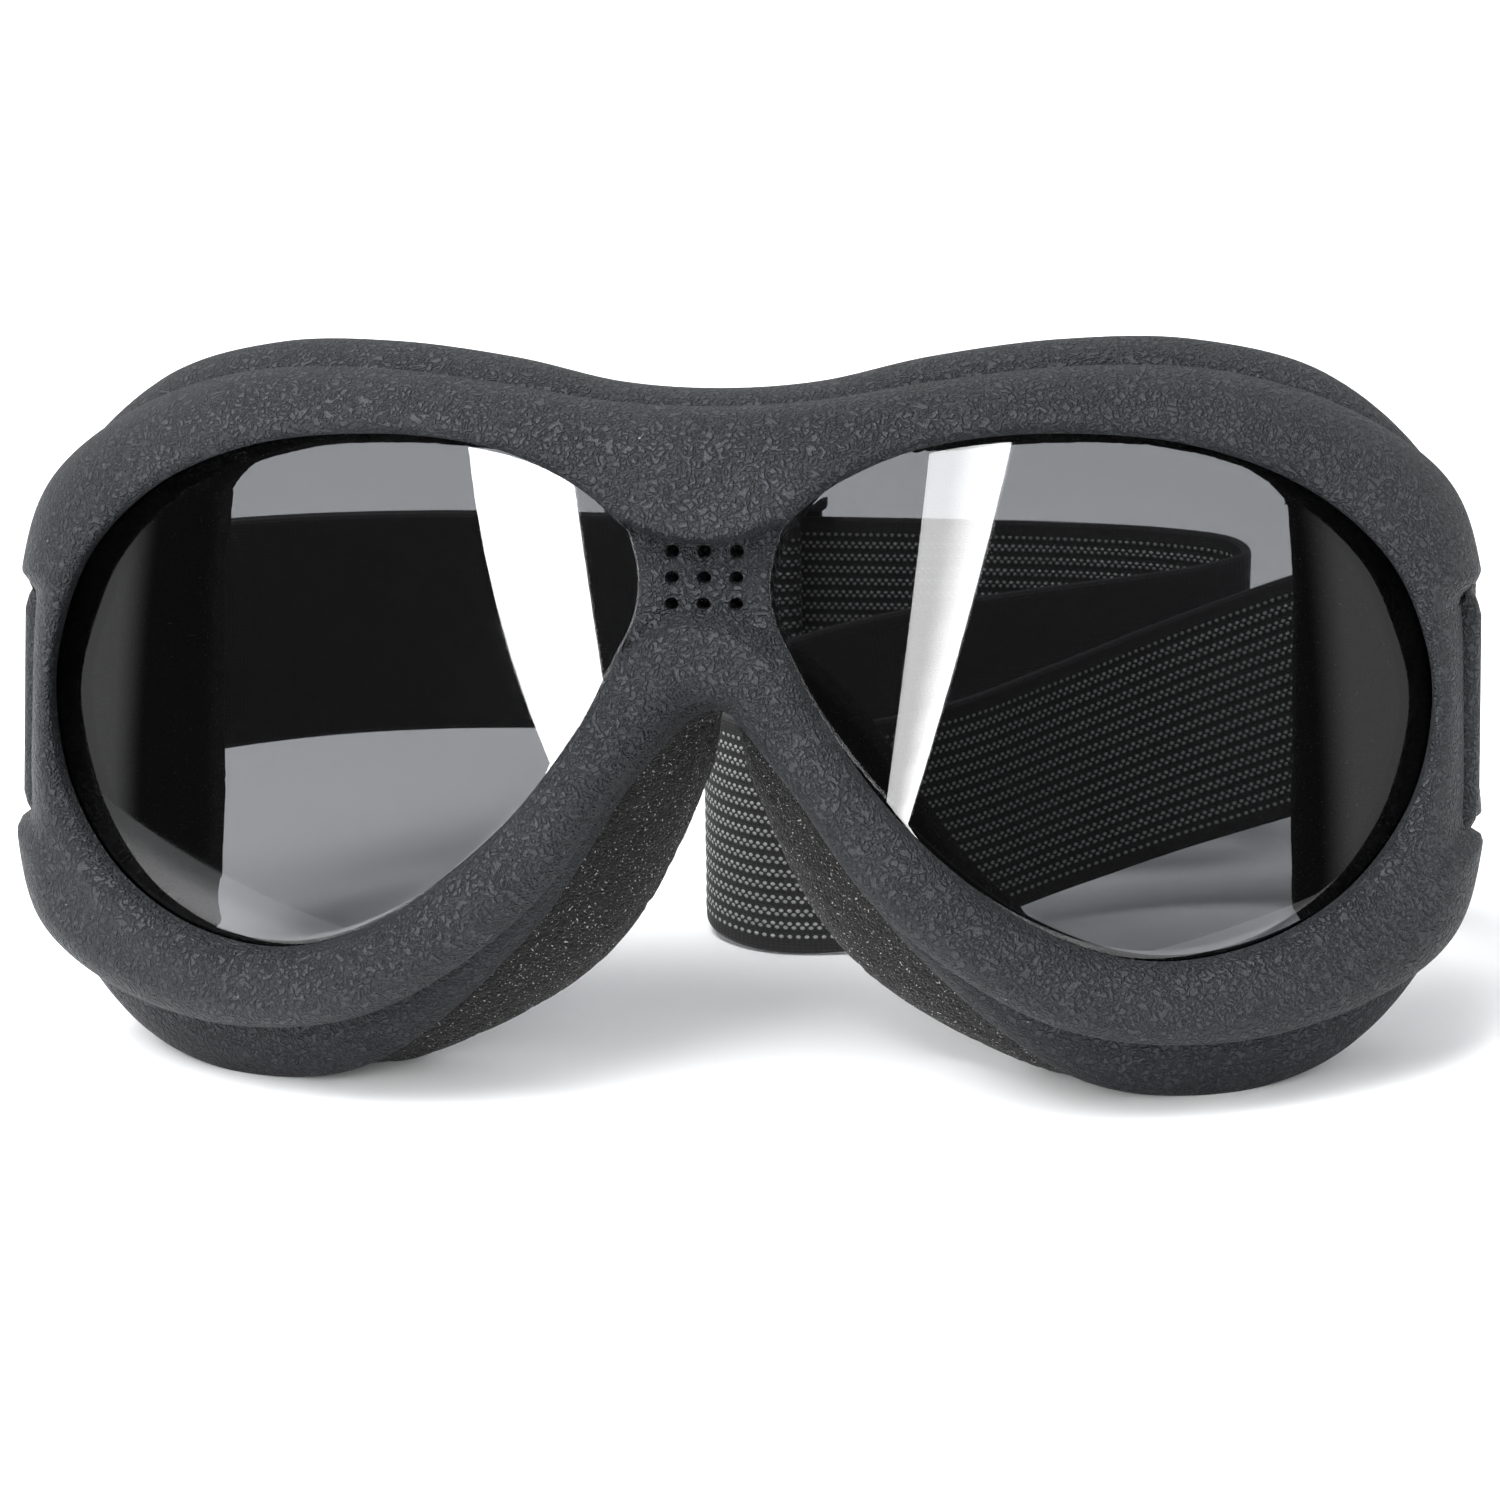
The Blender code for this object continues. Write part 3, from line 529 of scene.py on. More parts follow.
def round_lug_front(shape):
    """A large rounding where a lug's front turns to its outer side."""
    reach = max(abs(v.co.x) for v in shape.verts) - 2.6 * MM
    front = {v for v in shape.verts if v.co.y < leaned_front(v.co.z) and abs(v.co.x) > reach}
    edges = [e for e in shape.edges if e.verts[0] in front and e.verts[1] in front]
    bmesh.ops.bevel(shape, geom=edges, offset=3.0 * MM, segments=8, profile=0.5, affect="EDGES")


def leaned_front(z):
    """Just behind the lugs' front face, at a height on the leaning mask."""
    return (LUG_FRONT + 0.5 + DEPTH_SHIFT) * MM + LEAN * (z - LEANED_HEIGHT * EAR_HEIGHT * MM)


def ear_slot(side):
    half = STRAP_WIDTH / 2 + SLOT_CLEAR
    low, high = (EAR_INNER - 8.0, SLOT[0], EAR_HEIGHT - half), (EAR_OUTER + 8.0, SLOT[1], EAR_HEIGHT + half)
    return block(*on_side(side, low, high), rounding=0.6)


def ear_recess(side):
    """The space for the strap outside its bar, open to the rear."""
    half = STRAP_WIDTH / 2 + SLOT_CLEAR
    low = (BAR_OUTER, SLOT[0] + 1.0, EAR_HEIGHT - half)
    high = (EAR_OUTER + 8.0, EAR_BACK + 8.0, EAR_HEIGHT + half)
    return block(*on_side(side, low, high), rounding=0.4)


def filter_pocket():
    half = np.array(FILTER) / 2 + FOAM_GAP
    return block(FILTER_MIDDLE - half, FILTER_MIDDLE + half + (0.0, 4.0, 0.0))


def vent_hole(column, row):
    """A hole through the vent panel with a small countersink at its mouth."""
    around = np.linspace(0, 2 * pi, 28, endpoint=False)
    mouth = float(wrap(column, row)) - 0.1
    stages = ((-3.0, 1.9), (mouth - 0.25, 1.5), (mouth + 0.05, 1.06), (mouth + 0.45, 1.0), (12.0, 1.0))
    points = [
        (column + VENT_RADIUS * wide * cos(a), depth, row + VENT_RADIUS * wide * sin(a))
        for depth, wide in stages for a in around
    ]
    faces = [tuple(f) for f in grid_faces(len(stages), len(around))]
    last = (len(stages) - 1) * len(around)
    faces += [tuple(range(len(around))), tuple(range(last, last + len(around)))]
    item = mesh_from("vent_hole", points, faces, leaning=True)
    edit(item, face_outwards)
    return item


# ---- lenses ----
def make_lens(name, side, surface):
    rim = lens_edge(PLACES, LENS_OVERLAP)
    middle = rim.mean(0)
    shares = np.linspace(0.0, 1.0, LENS_RINGS + 1)[1:]
    spots = middle + (rim - middle)[None] * shares[:, None, None]
    edge = 0.25 * (shares == 1.0)[:, None]
    layers = []
    for depth, inward in ((LENS_FRONT, 1), (LENS_FRONT + LENS_THICK, -1)):
        y = wrap(spots[..., 0], spots[..., 1]) + depth + inward * edge
        layers.append(np.stack((side * spots[..., 0], y, spots[..., 1]), 2))
    columns = len(PLACES)
    rings = np.concatenate((layers[0], layers[1][::-1]))
    centres = [
        (side * middle[0], float(wrap(*middle)) + depth, middle[1])
        for depth in (LENS_FRONT, LENS_FRONT + LENS_THICK)
    ]
    points = np.concatenate((rings.reshape(-1, 3), centres))
    faces = [tuple(f) for f in grid_faces(len(rings), columns)]
    front, back = len(points) - 2, len(points) - 1
    last = (len(rings) - 1) * columns
    for i in range(columns):
        after = (i + 1) % columns
        faces.append((front, i, after))
        faces.append((back, last + after, last + i))
    item = mesh_from(name, points, faces, leaning=True)
    edit(item, face_outwards)
    applied(item, 0.9)
    dress(item, surface)
    return item


# ---- foam ----
def pores(spot, size):
    """How deep an open cell goes at a spot, from 0 to 1."""
    nearest = noise.voronoi(spot / (size * MM))[0][0]
    return 1.0 - min(nearest / 0.55, 1.0) ** 2


def roughen(item, size, depth):
    """Pushes a foam surface in at its open cells and out between them."""
    mesh = item.data
    normals = [Vector(v.normal) for v in mesh.vertices]
    for vertex, normal in zip(mesh.vertices, normals):
        swell = 0.5 * noise.noise(vertex.co / (3.1 * MM))
        vertex.co += normal * (depth * MM * (0.35 * swell - pores(vertex.co, size)))
    mesh.update()


def make_foam(surface):
    """A soft ring that follows the frame's rear flange round both eyes and over the nose."""
    at = np.arange(LAST * FOAM_COLUMNS_PER_STATION + 1) / FOAM_COLUMNS_PER_STATION
    edge, inwards = spline(REAR_KNOTS, at), -normal_of(REAR_KNOTS, at)
    width = np.interp(at, range(LAST + 1), FOAM_WIDTH)
    flare_knots = np.column_stack((np.arange(-1, LAST + 2), (FOAM_FLARE[0], *FOAM_FLARE, FOAM_FLARE[-2])))
    flare = spline(flare_knots, at)[:, 1]
    front = rear(edge[:, 0]) + FOAM_GAP
    section = (
        (0.4, 0.0), (0.4 - flare * 0.4, FOAM_THICK * 0.22), (0.4 - flare * 0.8, FOAM_THICK * 0.45),
        (0.8 - flare, FOAM_THICK * 0.85), (2.4 - flare, FOAM_THICK), (width * 0.5 - flare * 0.5, FOAM_THICK),
        (width - 2.0, FOAM_THICK), (width, FOAM_THICK * 0.8), (width, FOAM_THICK * 0.4), (width, 0.0),
        (width * 0.7, 0.0), (width * 0.35, 0.0),
    )
    rings = []
    for inset, depth in section:
        spots = edge + inwards * np.broadcast_to(inset, at.shape)[:, None]
        spots[:, 0] = np.maximum(spots[:, 0], FOAM_CLEFT)
        spots[0, 0] = spots[-1, 0] = 0.0
        rings.append(np.stack((spots[:, 0], front + depth, np.maximum(spots[:, 1], FOAM_LOWEST)), 1))
    chain = np.stack(rings + rings[:1], 1)
    fine = smoothed_chain(chain)
    fine = (fine[:, :-1] + fine[:, 1:]) / 2
    item = mesh_from("foam_ring", fine, grid_faces(len(at), fine.shape[1]), leaning=True)
    edit(item, face_outwards)
    mirror(item)
    subdivide(item, "CATMULL_CLARK", 1)
    roughen(item, 0.75, 0.32)
    above = FOAM_LOWEST * LEANED_HEIGHT * MM * 0.5
    for vertex in item.data.vertices:
        vertex.co.z = max(vertex.co.z, above)
    dress(item, surface)
    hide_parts("face_foam")
    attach(item, "mask")


def make_filter(surface):
    half = np.array(FILTER) / 2
    item = block(FILTER_MIDDLE - half, FILTER_MIDDLE + half, rounding=0.5, segments=3)
    item.name = "vent_foam"
    subdivide(item, "SIMPLE", 4)
    roughen(item, 0.6, 0.12)
    dress(item, surface)
    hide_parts("vent_filter")
    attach(item, "mask")


# ---- strap ----
def route_points(first, last, steps=ROUTE_STEPS):
    """Points on the strap's route between two of its listed points, each with the webbing's lean there."""
    i = np.arange(END + 1)
    lean = LEAN * (1.0 - smoothstep(0, STRAP_UPRIGHT[0], i) + smoothstep(STRAP_UPRIGHT[1], END, i))
    knots = np.column_stack((STRAP_ROUTE, lean))
    knots = np.concatenate(([2 * knots[0] - knots[1]], knots, [2 * knots[-1] - knots[-2]]))
    return spline(knots, np.linspace(first, last, (last - first) * steps + 1))


def offset_route(points, sideways):
    """Moves a route sideways in plan, to the left of its direction."""
    along = np.gradient(points[:, :2], axis=0)
    along /= np.linalg.norm(along, axis=1)[:, None]
    moved = points.copy()
    moved[:, 0] -= along[:, 1] * sideways
    moved[:, 1] += along[:, 0] * sideways
    return moved


def arc(middle, radius, start, end, count):
    """Plan points on an arc, angles in degrees."""
    angles = np.radians(np.linspace(start, end, count + 1))
    return [(middle[0] + radius * cos(a), middle[1] + radius * sin(a)) for a in angles]


def ear_turn(side):
    """Plan route round the ear's bar, from outside it, forward, through the slot and back inside it."""
    outer = BAR_OUTER + 0.4 + STRAP_THICK / 2
    inner = EAR_INNER - 0.4 - STRAP_THICK / 2
    turn = 1.6
    front = SLOT[1] - 0.4 - STRAP_THICK / 2
    plan = [(outer, STRAP_ROUTE[0][1] - 1.5), (outer, STRAP_ROUTE[0][1] - 3.5)]
    plan += arc((outer - turn, front + turn), turn, 0, -90, 7)
    plan += arc((inner + turn, front + turn), turn, -90, -180, 7)
    plan += [(inner, 45.0), (inner, 47.3)]
    return np.array([(side * x, y, STRAP_ROUTE[0][2], LEAN) for x, y in plan])


def through(points, step):
    """A smooth chain through a few points, with sections about a step apart."""
    points = np.asarray(points, float)
    knots = np.concatenate(([2 * points[0] - points[1]], points, [2 * points[-1] - points[-2]]))
    lengths = np.linalg.norm(np.diff(points[:, :3], axis=0), axis=1)
    counts = [max(1, round(gap / step)) for gap in lengths]
    at = [i + k / count for i, count in enumerate(counts) for k in range(count)]
    return spline(knots, np.array([*at, len(points) - 1.0]))


def slider_frame():
    """Unit plan vectors along the slider's run and across it towards the front, and the run's rise."""
    run = np.subtract(STRAP_ROUTE[SLIDER_AT + 1], STRAP_ROUTE[SLIDER_AT])
    along = run[:2] / np.hypot(*run[:2])
    return along, np.array((-along[1], along[0])), run[2] / np.hypot(*run[:2])


def tail_end():
    """The tail's last stretch: behind the slider's raised bar, round it and back over itself."""
    along, ahead, rise = slider_frame()
    start = np.array(STRAP_ROUTE[SLIDER_AT])
    bar_middle = sum(BAR_DEPTH) / 2
    radius = bar_middle - LAYER
    local = [(9.0, LAYER), (5.0, LAYER), (2.5, LAYER)]
    local += [(-x, y) for x, y in arc((0.9, bar_middle), radius, -90, 90, 12)]
    local += [(1.5, 5.6), (4.5, 4.85), (7.5, 4.1), (10.0, 2 * LAYER + 0.05), (14.0, 2 * LAYER)]
    return np.array([(*(start[:2] + along * a + ahead * b), start[2] + rise * a, 0.0) for a, b in local])


def sewn_end():
    """The strap's other end, from the free end on the inner side of the right ear to the ear's turn."""
    lying = offset_route(route_points(1, 2, 4), LAYER)
    return through([*lying[::-1][1:], (82.6, 52.0, STRAP_ROUTE[0][2], LEAN), *ear_turn(1)[::-1][:1]], 1.6)


class Strap:
    """The whole webbing as one chain of sections, from its sewn end round both ears to the tail's end."""

    def __init__(self):
        tail_lying = offset_route(route_points(25, 30), LAYER)[::-1]
        to_tail = through([ear_turn(-1)[-1], (-81.5, 53.5, 41.35, LEAN), tail_lying[0]], 1.6)
        stretches = (
            ("right_end", sewn_end()),
            ("right_turn", ear_turn(1)[::-1]),
            ("right_lead", route_points(0, 4)),
            ("main", route_points(4, 28)),
            ("left_lead", route_points(28, 32)),
            ("left_turn", ear_turn(-1)),
            ("to_tail", to_tail),
            ("tail_lead", tail_lying[:2 * ROUTE_STEPS + 1]),
            ("tail", tail_lying[2 * ROUTE_STEPS:]),
            ("tail_end", through(tail_end(), 1.2)),
        )
        chain = []
        self.starts = {}
        self.ends = {}
        for name, points in stretches:
            for point in points:
                if not chain or np.linalg.norm(point[:3] - chain[-1][:3]) > 0.05:
                    chain.append(point)
            self.ends[name] = len(chain) - 1
        previous = 0
        for name, _ in stretches:
            self.starts[name] = previous
            previous = self.ends[name]
        chain = np.array(chain)
        self.middle = chain[:, :3]
        steps = np.linalg.norm(np.diff(self.middle, axis=0), axis=1)
        self.length = np.concatenate(([0.0], np.cumsum(steps)))
        self.along = unit_rows(np.gradient(self.middle, self.length, axis=0))
        up = unit_rows(np.column_stack((np.zeros(len(chain)), chain[:, 3], np.ones(len(chain)))))
        self.left = unit_rows(np.cross(up, self.along))
        self.up = unit_rows(np.cross(self.along, self.left))

    def at(self, i, across, out):
        """A point on section i, across the webbing and out to its left, where its dotted side is."""
        return self.middle[i] + self.up[i] * across + self.left[i] * out

    def span(self, first, last):
        return range(self.starts[first], self.ends[last] + 1)


def unit_rows(rows):
    return rows / np.linalg.norm(rows, axis=1)[:, None]


def webbing_section():
    """The webbing's section: (across, out, is on the dotted side), ribbed along its length on both faces."""
    half = STRAP_WIDTH / 2
    thick = STRAP_THICK / 2
    flat = half - thick * 0.8
    rows = DOT_ROWS * ROW_PITCH / 2
    across = np.concatenate((
        np.linspace(-flat, -rows, 4)[:-1],
        np.linspace(-rows, rows, DOT_ROWS * POINTS_PER_ROW + 1),
        np.linspace(rows, flat, 4)[1:],
    ))
    in_rows = smoothstep(rows + 0.6, rows - 0.2, np.abs(across))
    ridge = 0.5 + 0.5 * np.cos(2 * pi * (across + rows - ROW_PITCH / 2) / ROW_PITCH)
    dotted = thick - RIB_HEIGHT * (1.0 - ridge * in_rows)
    fine = 0.5 + 0.5 * np.cos(4 * pi * (across + rows - ROW_PITCH / 2) / ROW_PITCH)
    plain = -(thick - 0.6 * RIB_HEIGHT * (1.0 - fine * in_rows))
    low = thick - RIB_HEIGHT
    bend = np.radians(np.linspace(0, 180, 9))[1:-1]
    section = [(a, out, 1) for a, out in zip(across, dotted)]
    section += [(flat + thick * 0.8 * sin(b), low * cos(b), 0) for b in bend]
    section += [(a, out, 0) for a, out in zip(across[::-1], plain[::-1])]
    section += [(-flat - thick * 0.8 * sin(b), -low * cos(b), 0) for b in bend]
    return section


def make_webbing(name, strap, first, last, surfaces, nodes):
    """One stretch of webbing with its length and width laid out in a UV map, in millimetres."""
    section = webbing_section()
    ring = len(section)
    across = np.array([s[0] for s in section])
    out = np.array([s[1] for s in section])
    span = strap.span(first, last)
    points = np.array([
        strap.middle[i] + across[:, None] * strap.up[i] + out[:, None] * strap.left[i] for i in span
    ])
    quads = grid_faces(len(span), ring)
    last_ring = (len(span) - 1) * ring
    caps = [tuple(range(ring)), tuple(range(last_ring, last_ring + ring))]
    item = mesh_from(name, points, [*quads, *caps])
    edit(item, face_outwards)
    for surface in surfaces:
        item.data.materials.append(surface)
    dotted = np.array([s[2] for s in section])
    place = np.column_stack((np.repeat(strap.length[list(span)], ring), np.tile(across, len(span))))
    layout = item.data.uv_layers.new(name="weave")
    corners = np.zeros(len(item.data.loops), int)
    item.data.loops.foreach_get("vertex_index", corners)
    layout.data.foreach_set("uv", place[corners].ravel())
    for face in item.data.polygons:
        on_dotted = all(dotted[v % ring] for v in face.vertices)
        face.material_index = 0 if on_dotted and len(face.vertices) == 4 else 1
    item.data.shade_smooth()
    item.data.set_sharp_from_angle(angle=1.0)
    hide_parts(*nodes)
    return item


def zigzag(name, strap, i, surface):
    """A bar tack: two runs of thread, to and fro across the webbing at section i, that fit the outer faces of
    two layers sewn together."""
    sewn = []
    for out in (-STRAP_THICK / 2 - 0.05, STRAP_THICK / 2 + LAYER + 0.05):
        spots = []
        for k in range(TACK_TURNS + 1):
            across = (k / TACK_TURNS - 0.5) * (STRAP_WIDTH - 3.0)
            along = TACK_REACH if k % 2 else -TACK_REACH
            spots.append(strap.at(i, across, out) + strap.along[i] * along)
        sewn.append(thread(spots, THREAD_RADIUS))
    item = joined(name, sewn)
    item.data.shade_smooth()
    return dress(item, surface)


def thread(spots, radius):
    curve = bpy.data.curves.new("thread", "CURVE")
    curve.dimensions = "3D"
    curve.bevel_depth = radius * MM
    curve.bevel_resolution = 1
    curve.use_fill_caps = True
    line = curve.splines.new("POLY")
    line.points.add(len(spots) - 1)
    for point, spot in zip(line.points, spots):
        point.co = (*((spot + (0.0, DEPTH_SHIFT, 0.0)) * MM), 1.0)
    item = placed("thread", curve)
    mesh = real_mesh(item)
    bpy.data.objects.remove(item)
    solid = placed("thread", mesh)
    edit(solid, lambda shape: bmesh.ops.remove_doubles(shape, verts=shape.verts, dist=1e-6), face_outwards)
    return solid


def make_strap(dotted, plain, sewing):
    strap = Strap()
    surfaces = (dotted, plain)
    right = make_webbing("strap_right", strap, "right_end", "right_lead", surfaces,
                         ("strap_loop_right", "strap_near_lead"))
    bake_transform(right)
    tack = zigzag("sewn_end_thread", strap, strap.starts["right_end"] + 4, sewing)
    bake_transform(tack)
    main = make_webbing("strap_main", strap, "main", "main", surfaces,
                        ("strap_near_leg", "strap_front_fold", "strap_middle_leg", "strap_rear_fold",
                         "strap_far_leg"))
    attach(main, "strap")
    left = make_webbing("strap_left", strap, "left_lead", "tail_lead", surfaces,
                        ("strap_far_lead", "strap_loop_left", "strap_tail_lead"))
    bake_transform(left)
    tail = make_webbing("strap_tail_webbing", strap, "tail", "tail_end", surfaces, ("strap_tail",))
    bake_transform(tail)
    # The tail's end is a single layer, so one of this tack's two runs stands off it by a layer.
    tail_tack = zigzag("tail_thread", strap, strap.ends["tail_end"] - 2, sewing)
    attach(tail_tack, "adjuster")


# ---- slider ----
def make_slider(surface):
    """A moulded three-bar slide: two bars behind the strap and a raised bar in front that holds the tail."""
    along, _, _ = slider_frame()
    place_at = np.array(STRAP_ROUTE[SLIDER_AT])
    half = SLIDER_LENGTH / 2
    rail_in = STRAP_WIDTH / 2 + SLIDER_CLEAR
    rail_out = SLIDER_HEIGHT / 2
    inside = rail_out - 0.6
    behind = (-2.7, -1.1)
    spot = Matrix.Translation(Vector((place_at + (0.0, DEPTH_SHIFT, 0.0)) * MM))
    turn = spot @ Matrix.Rotation(atan2(along[1], along[0]), 4, "Z")
    parts = []
    for low, high, rounding in (
        ((-half, behind[0], rail_in), (half, BAR_DEPTH[1], rail_out), 1.1),
        ((-half, behind[0], -rail_out), (half, BAR_DEPTH[1], -rail_in), 1.1),
        ((-half, behind[0], -inside), (SLIDER_BAR - half, behind[1], inside), 0.7),
        ((half - SLIDER_BAR, behind[0], -inside), (half, behind[1], inside), 0.7),
        ((-1.5, BAR_DEPTH[0], -inside), (1.5, BAR_DEPTH[1], inside), 0.7),
    ):
        part = block(low, high, rounding=rounding, segments=5, leaning=False)
        part.data.transform(Matrix.Translation((0.0, -DEPTH_SHIFT * MM, 0.0)))
        part.data.transform(turn)
        parts.append(part)
    item, *others = parts
    item.name = "strap_slider"
    for other in others:
        cut(item, other, "UNION")
    dress(item, surface)
    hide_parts("slider")
    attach(item, "adjuster")


# ---- materials ----
class Nodes:
    """Short calls that add nodes to a tree."""

    def __init__(self, tree):
        self.tree = tree

    def plug(self, socket, value):
        if isinstance(value, bpy.types.NodeSocket):
            self.tree.links.new(value, socket)
        else:
            socket.default_value = value

    def node(self, kind, values=(), output=0, **settings):
        """Adds a node, sets its settings and inputs, and returns one output."""
        item = self.tree.nodes.new(kind)
        for name, value in settings.items():
            setattr(item, name, value)
        for key, value in dict(values).items():
            self.plug(item.inputs[key], value)
        return item.outputs[output]

    def math(self, operation, *values):
        return self.node("ShaderNodeMath", enumerate(values), operation=operation)

    def place(self):
        return self.node("ShaderNodeTexCoord", output="Object")

    def noise(self, scale, detail=2.0, output="Fac"):
        values = {"Vector": self.place(), "Scale": scale, "Detail": detail}
        return self.node("ShaderNodeTexNoise", values, output=output)

    def cells(self, scale, vector=None, feature="F1"):
        values = {"Vector": vector or self.place(), "Scale": scale}
        return self.node("ShaderNodeTexVoronoi", values, output="Distance", feature=feature)

    def ramp(self, value, low, high, start=0.0, end=1.0):
        """Smooth step of a value from one range to another."""
        values = {"Value": value, "From Min": low, "From Max": high, "To Min": start, "To Max": end}
        return self.node("ShaderNodeMapRange", values, interpolation_type="SMOOTHSTEP")

    def mix(self, share, a, b):
        """Mixes two colours."""
        item = self.tree.nodes.new("ShaderNodeMix")
        item.data_type = "RGBA"
        self.plug(item.inputs[0], share)
        self.plug(item.inputs[6], (*a, 1.0) if isinstance(a, tuple) else a)
        self.plug(item.inputs[7], (*b, 1.0) if isinstance(b, tuple) else b)
        return item.outputs[2]

    def bump(self, height, strength, distance):
        values = {"Height": height, "Strength": strength, "Distance": distance}
        return self.node("ShaderNodeBump", values)

    def split(self, vector):
        """The first two parts of a vector."""
        item = self.tree.nodes.new("ShaderNodeSeparateXYZ")
        self.plug(item.inputs[0], vector)
        return item.outputs[0], item.outputs[1]

    def warped(self, scale, amount):
        """Object coordinates pushed about by noise, in metres."""
        wander = self.noise(scale, 1.0, output="Color")
        centred = self.node("ShaderNodeVectorMath", {0: wander, 1: (0.5, 0.5, 0.5)}, operation="SUBTRACT")
        scaled = self.node("ShaderNodeVectorMath", {0: centred, "Scale": amount}, operation="SCALE")
        return self.node("ShaderNodeVectorMath", {0: self.place(), 1: scaled}, operation="ADD")


class Surface(Nodes):
    """A node material with a Principled shader."""

    def __init__(self, name):
        self.material = bpy.data.materials.new(name)
        self.material.use_nodes = True
        super().__init__(self.material.node_tree)
        self.shader = self.tree.nodes["Principled BSDF"]

    def set(self, **values):
        for name, value in values.items():
            self.plug(self.shader.inputs[name.replace("_", " ")], value)


def winding_creases(s, scale, seed):
    """Thin creases that wander over a surface: 0 in a crease, rising smoothly to 1 between them."""
    values = {"Vector": s.place(), "W": seed, "Scale": scale, "Detail": 1.0}
    wander = s.node("ShaderNodeTexNoise", values, noise_dimensions="4D")
    from_crease = s.math("ABSOLUTE", s.math("SUBTRACT", wander, 0.5))
    return s.ramp(from_crease, 0.0, 0.085)


def rubber_surface():
    """Matte moulded rubber with a fine leather grain whose creases are darkened as painted shade, slight
    cloudiness and a few specks of dust.
    """
    s = Surface("frame_rubber")
    grain = s.math("MINIMUM", winding_creases(s, 760.0, 0.0), winding_creases(s, 1150.0, 7.3))
    fine = s.noise(5200.0, 2.0)
    cloud = s.noise(45.0, 3.0)
    height = s.math("ADD", grain, s.math("MULTIPLY", fine, 0.35))
    colour = s.mix(s.ramp(cloud, 0.3, 0.7), (0.0168, 0.0184, 0.0212), (0.0245, 0.0266, 0.0302))
    # painted shade: the colour darkens in the creases of the grain
    colour = s.mix(s.math("MULTIPLY", s.math("SUBTRACT", 1.0, grain), 0.6), colour, (0.0058, 0.0063, 0.0073))
    specks = s.cells(420.0)
    chosen = s.ramp(s.noise(900.0, 0.0), 0.70, 0.74)
    dust = s.math("MULTIPLY", s.ramp(specks, 0.085, 0.04), chosen)
    colour = s.mix(s.math("MULTIPLY", dust, 0.5), colour, (0.34, 0.34, 0.33))
    s.set(
        Base_Color=colour,
        Roughness=s.ramp(cloud, 0.25, 0.75, 0.48, 0.6),
        Specular_IOR_Level=0.2,
        Normal=s.bump(height, 1.0, 0.0005),
    )
    return s.material


def lens_surface():
    """Smoke-tinted polycarbonate, polished, with faint wipe marks in its gloss."""
    s = Surface("smoke_lens")
    smear = s.noise(60.0, 4.0)
    s.set(
        Base_Color=(0.138, 0.141, 0.147, 1.0),
        Transmission_Weight=1.0,
        IOR=1.5,
        Roughness=s.ramp(smear, 0.35, 0.75, 0.008, 0.028),
    )
    return s.material


def foam_surface(name, dark, light, cell):
    """Open-cell foam: pale struts, with painted shade darkening the pits between them and painted glints on
    them.
    """
    s = Surface(name)
    where = s.warped(900.0, 0.0006)
    walls = s.cells(cell, where, feature="DISTANCE_TO_EDGE")
    pit = s.ramp(walls, 0.05, 0.4)
    fine = s.noise(cell * 2.6, 2.0)
    colour = s.mix(s.ramp(fine, 0.35, 0.75), dark, light)
    # painted shade: the colour darkens in the pits between the cells' walls
    colour = s.mix(s.math("MULTIPLY", pit, 0.75), colour, tuple(c * 0.25 for c in dark))
    # painted highlight: small pale glints scattered over the foam's colour
    painted_glint = s.ramp(s.noise(cell * 2.1, 0.0), 0.72, 0.8)
    colour = s.mix(s.math("MULTIPLY", painted_glint, 0.8), colour, (0.42, 0.41, 0.40))
    height = s.math("SUBTRACT", s.math("MULTIPLY", fine, 0.5), pit)
    s.set(Base_Color=colour, Roughness=0.9, Normal=s.bump(height, 0.9, 0.00028))
    s.set(Sheen_Weight=0.08, Sheen_Roughness=0.5, Specular_IOR_Level=0.3)
    return s.material


def weave_place(s):
    """The webbing's length and width, in millimetres."""
    return s.split(s.node("ShaderNodeUVMap", uv_map="weave"))


def wave(s, value, pitch, shift=0.0):
    """A cosine of a length, from 0 to 1, with its crest at the shift."""
    turns = s.math("MULTIPLY", s.math("SUBTRACT", value, shift), 2 * pi / pitch)
    return s.math("MULTIPLY_ADD", s.math("COSINE", turns), 0.5, 0.5)


def knit(s, along, across):
    """Height of black knitted elastic: fine wales along it, crossed by courses."""
    wale = wave(s, across, ROW_PITCH / 4, ROW_PITCH / 8)
    course = wave(s, s.math("MULTIPLY_ADD", wale, 0.18, along), 0.62)
    return s.math("MULTIPLY_ADD", wale, 0.5, s.math("MULTIPLY", course, 0.6))


def plain_webbing_surface():
    s = Surface("webbing_plain")
    along, across = weave_place(s)
    height = knit(s, along, across)
    # painted shade: the colour follows the knit's height, darker in its hollows and lighter on its crests
    colour = s.mix(height, (0.007, 0.007, 0.0075), (0.021, 0.021, 0.022))
    fuzz = s.noise(2600.0, 2.0)
    s.set(
        Base_Color=colour,
        Roughness=0.8,
        Normal=s.bump(s.math("MULTIPLY_ADD", fuzz, 0.4, height), 0.7, 0.00016),
        Sheen_Weight=0.15,
        Sheen_Roughness=0.4,
    )
    return s.material


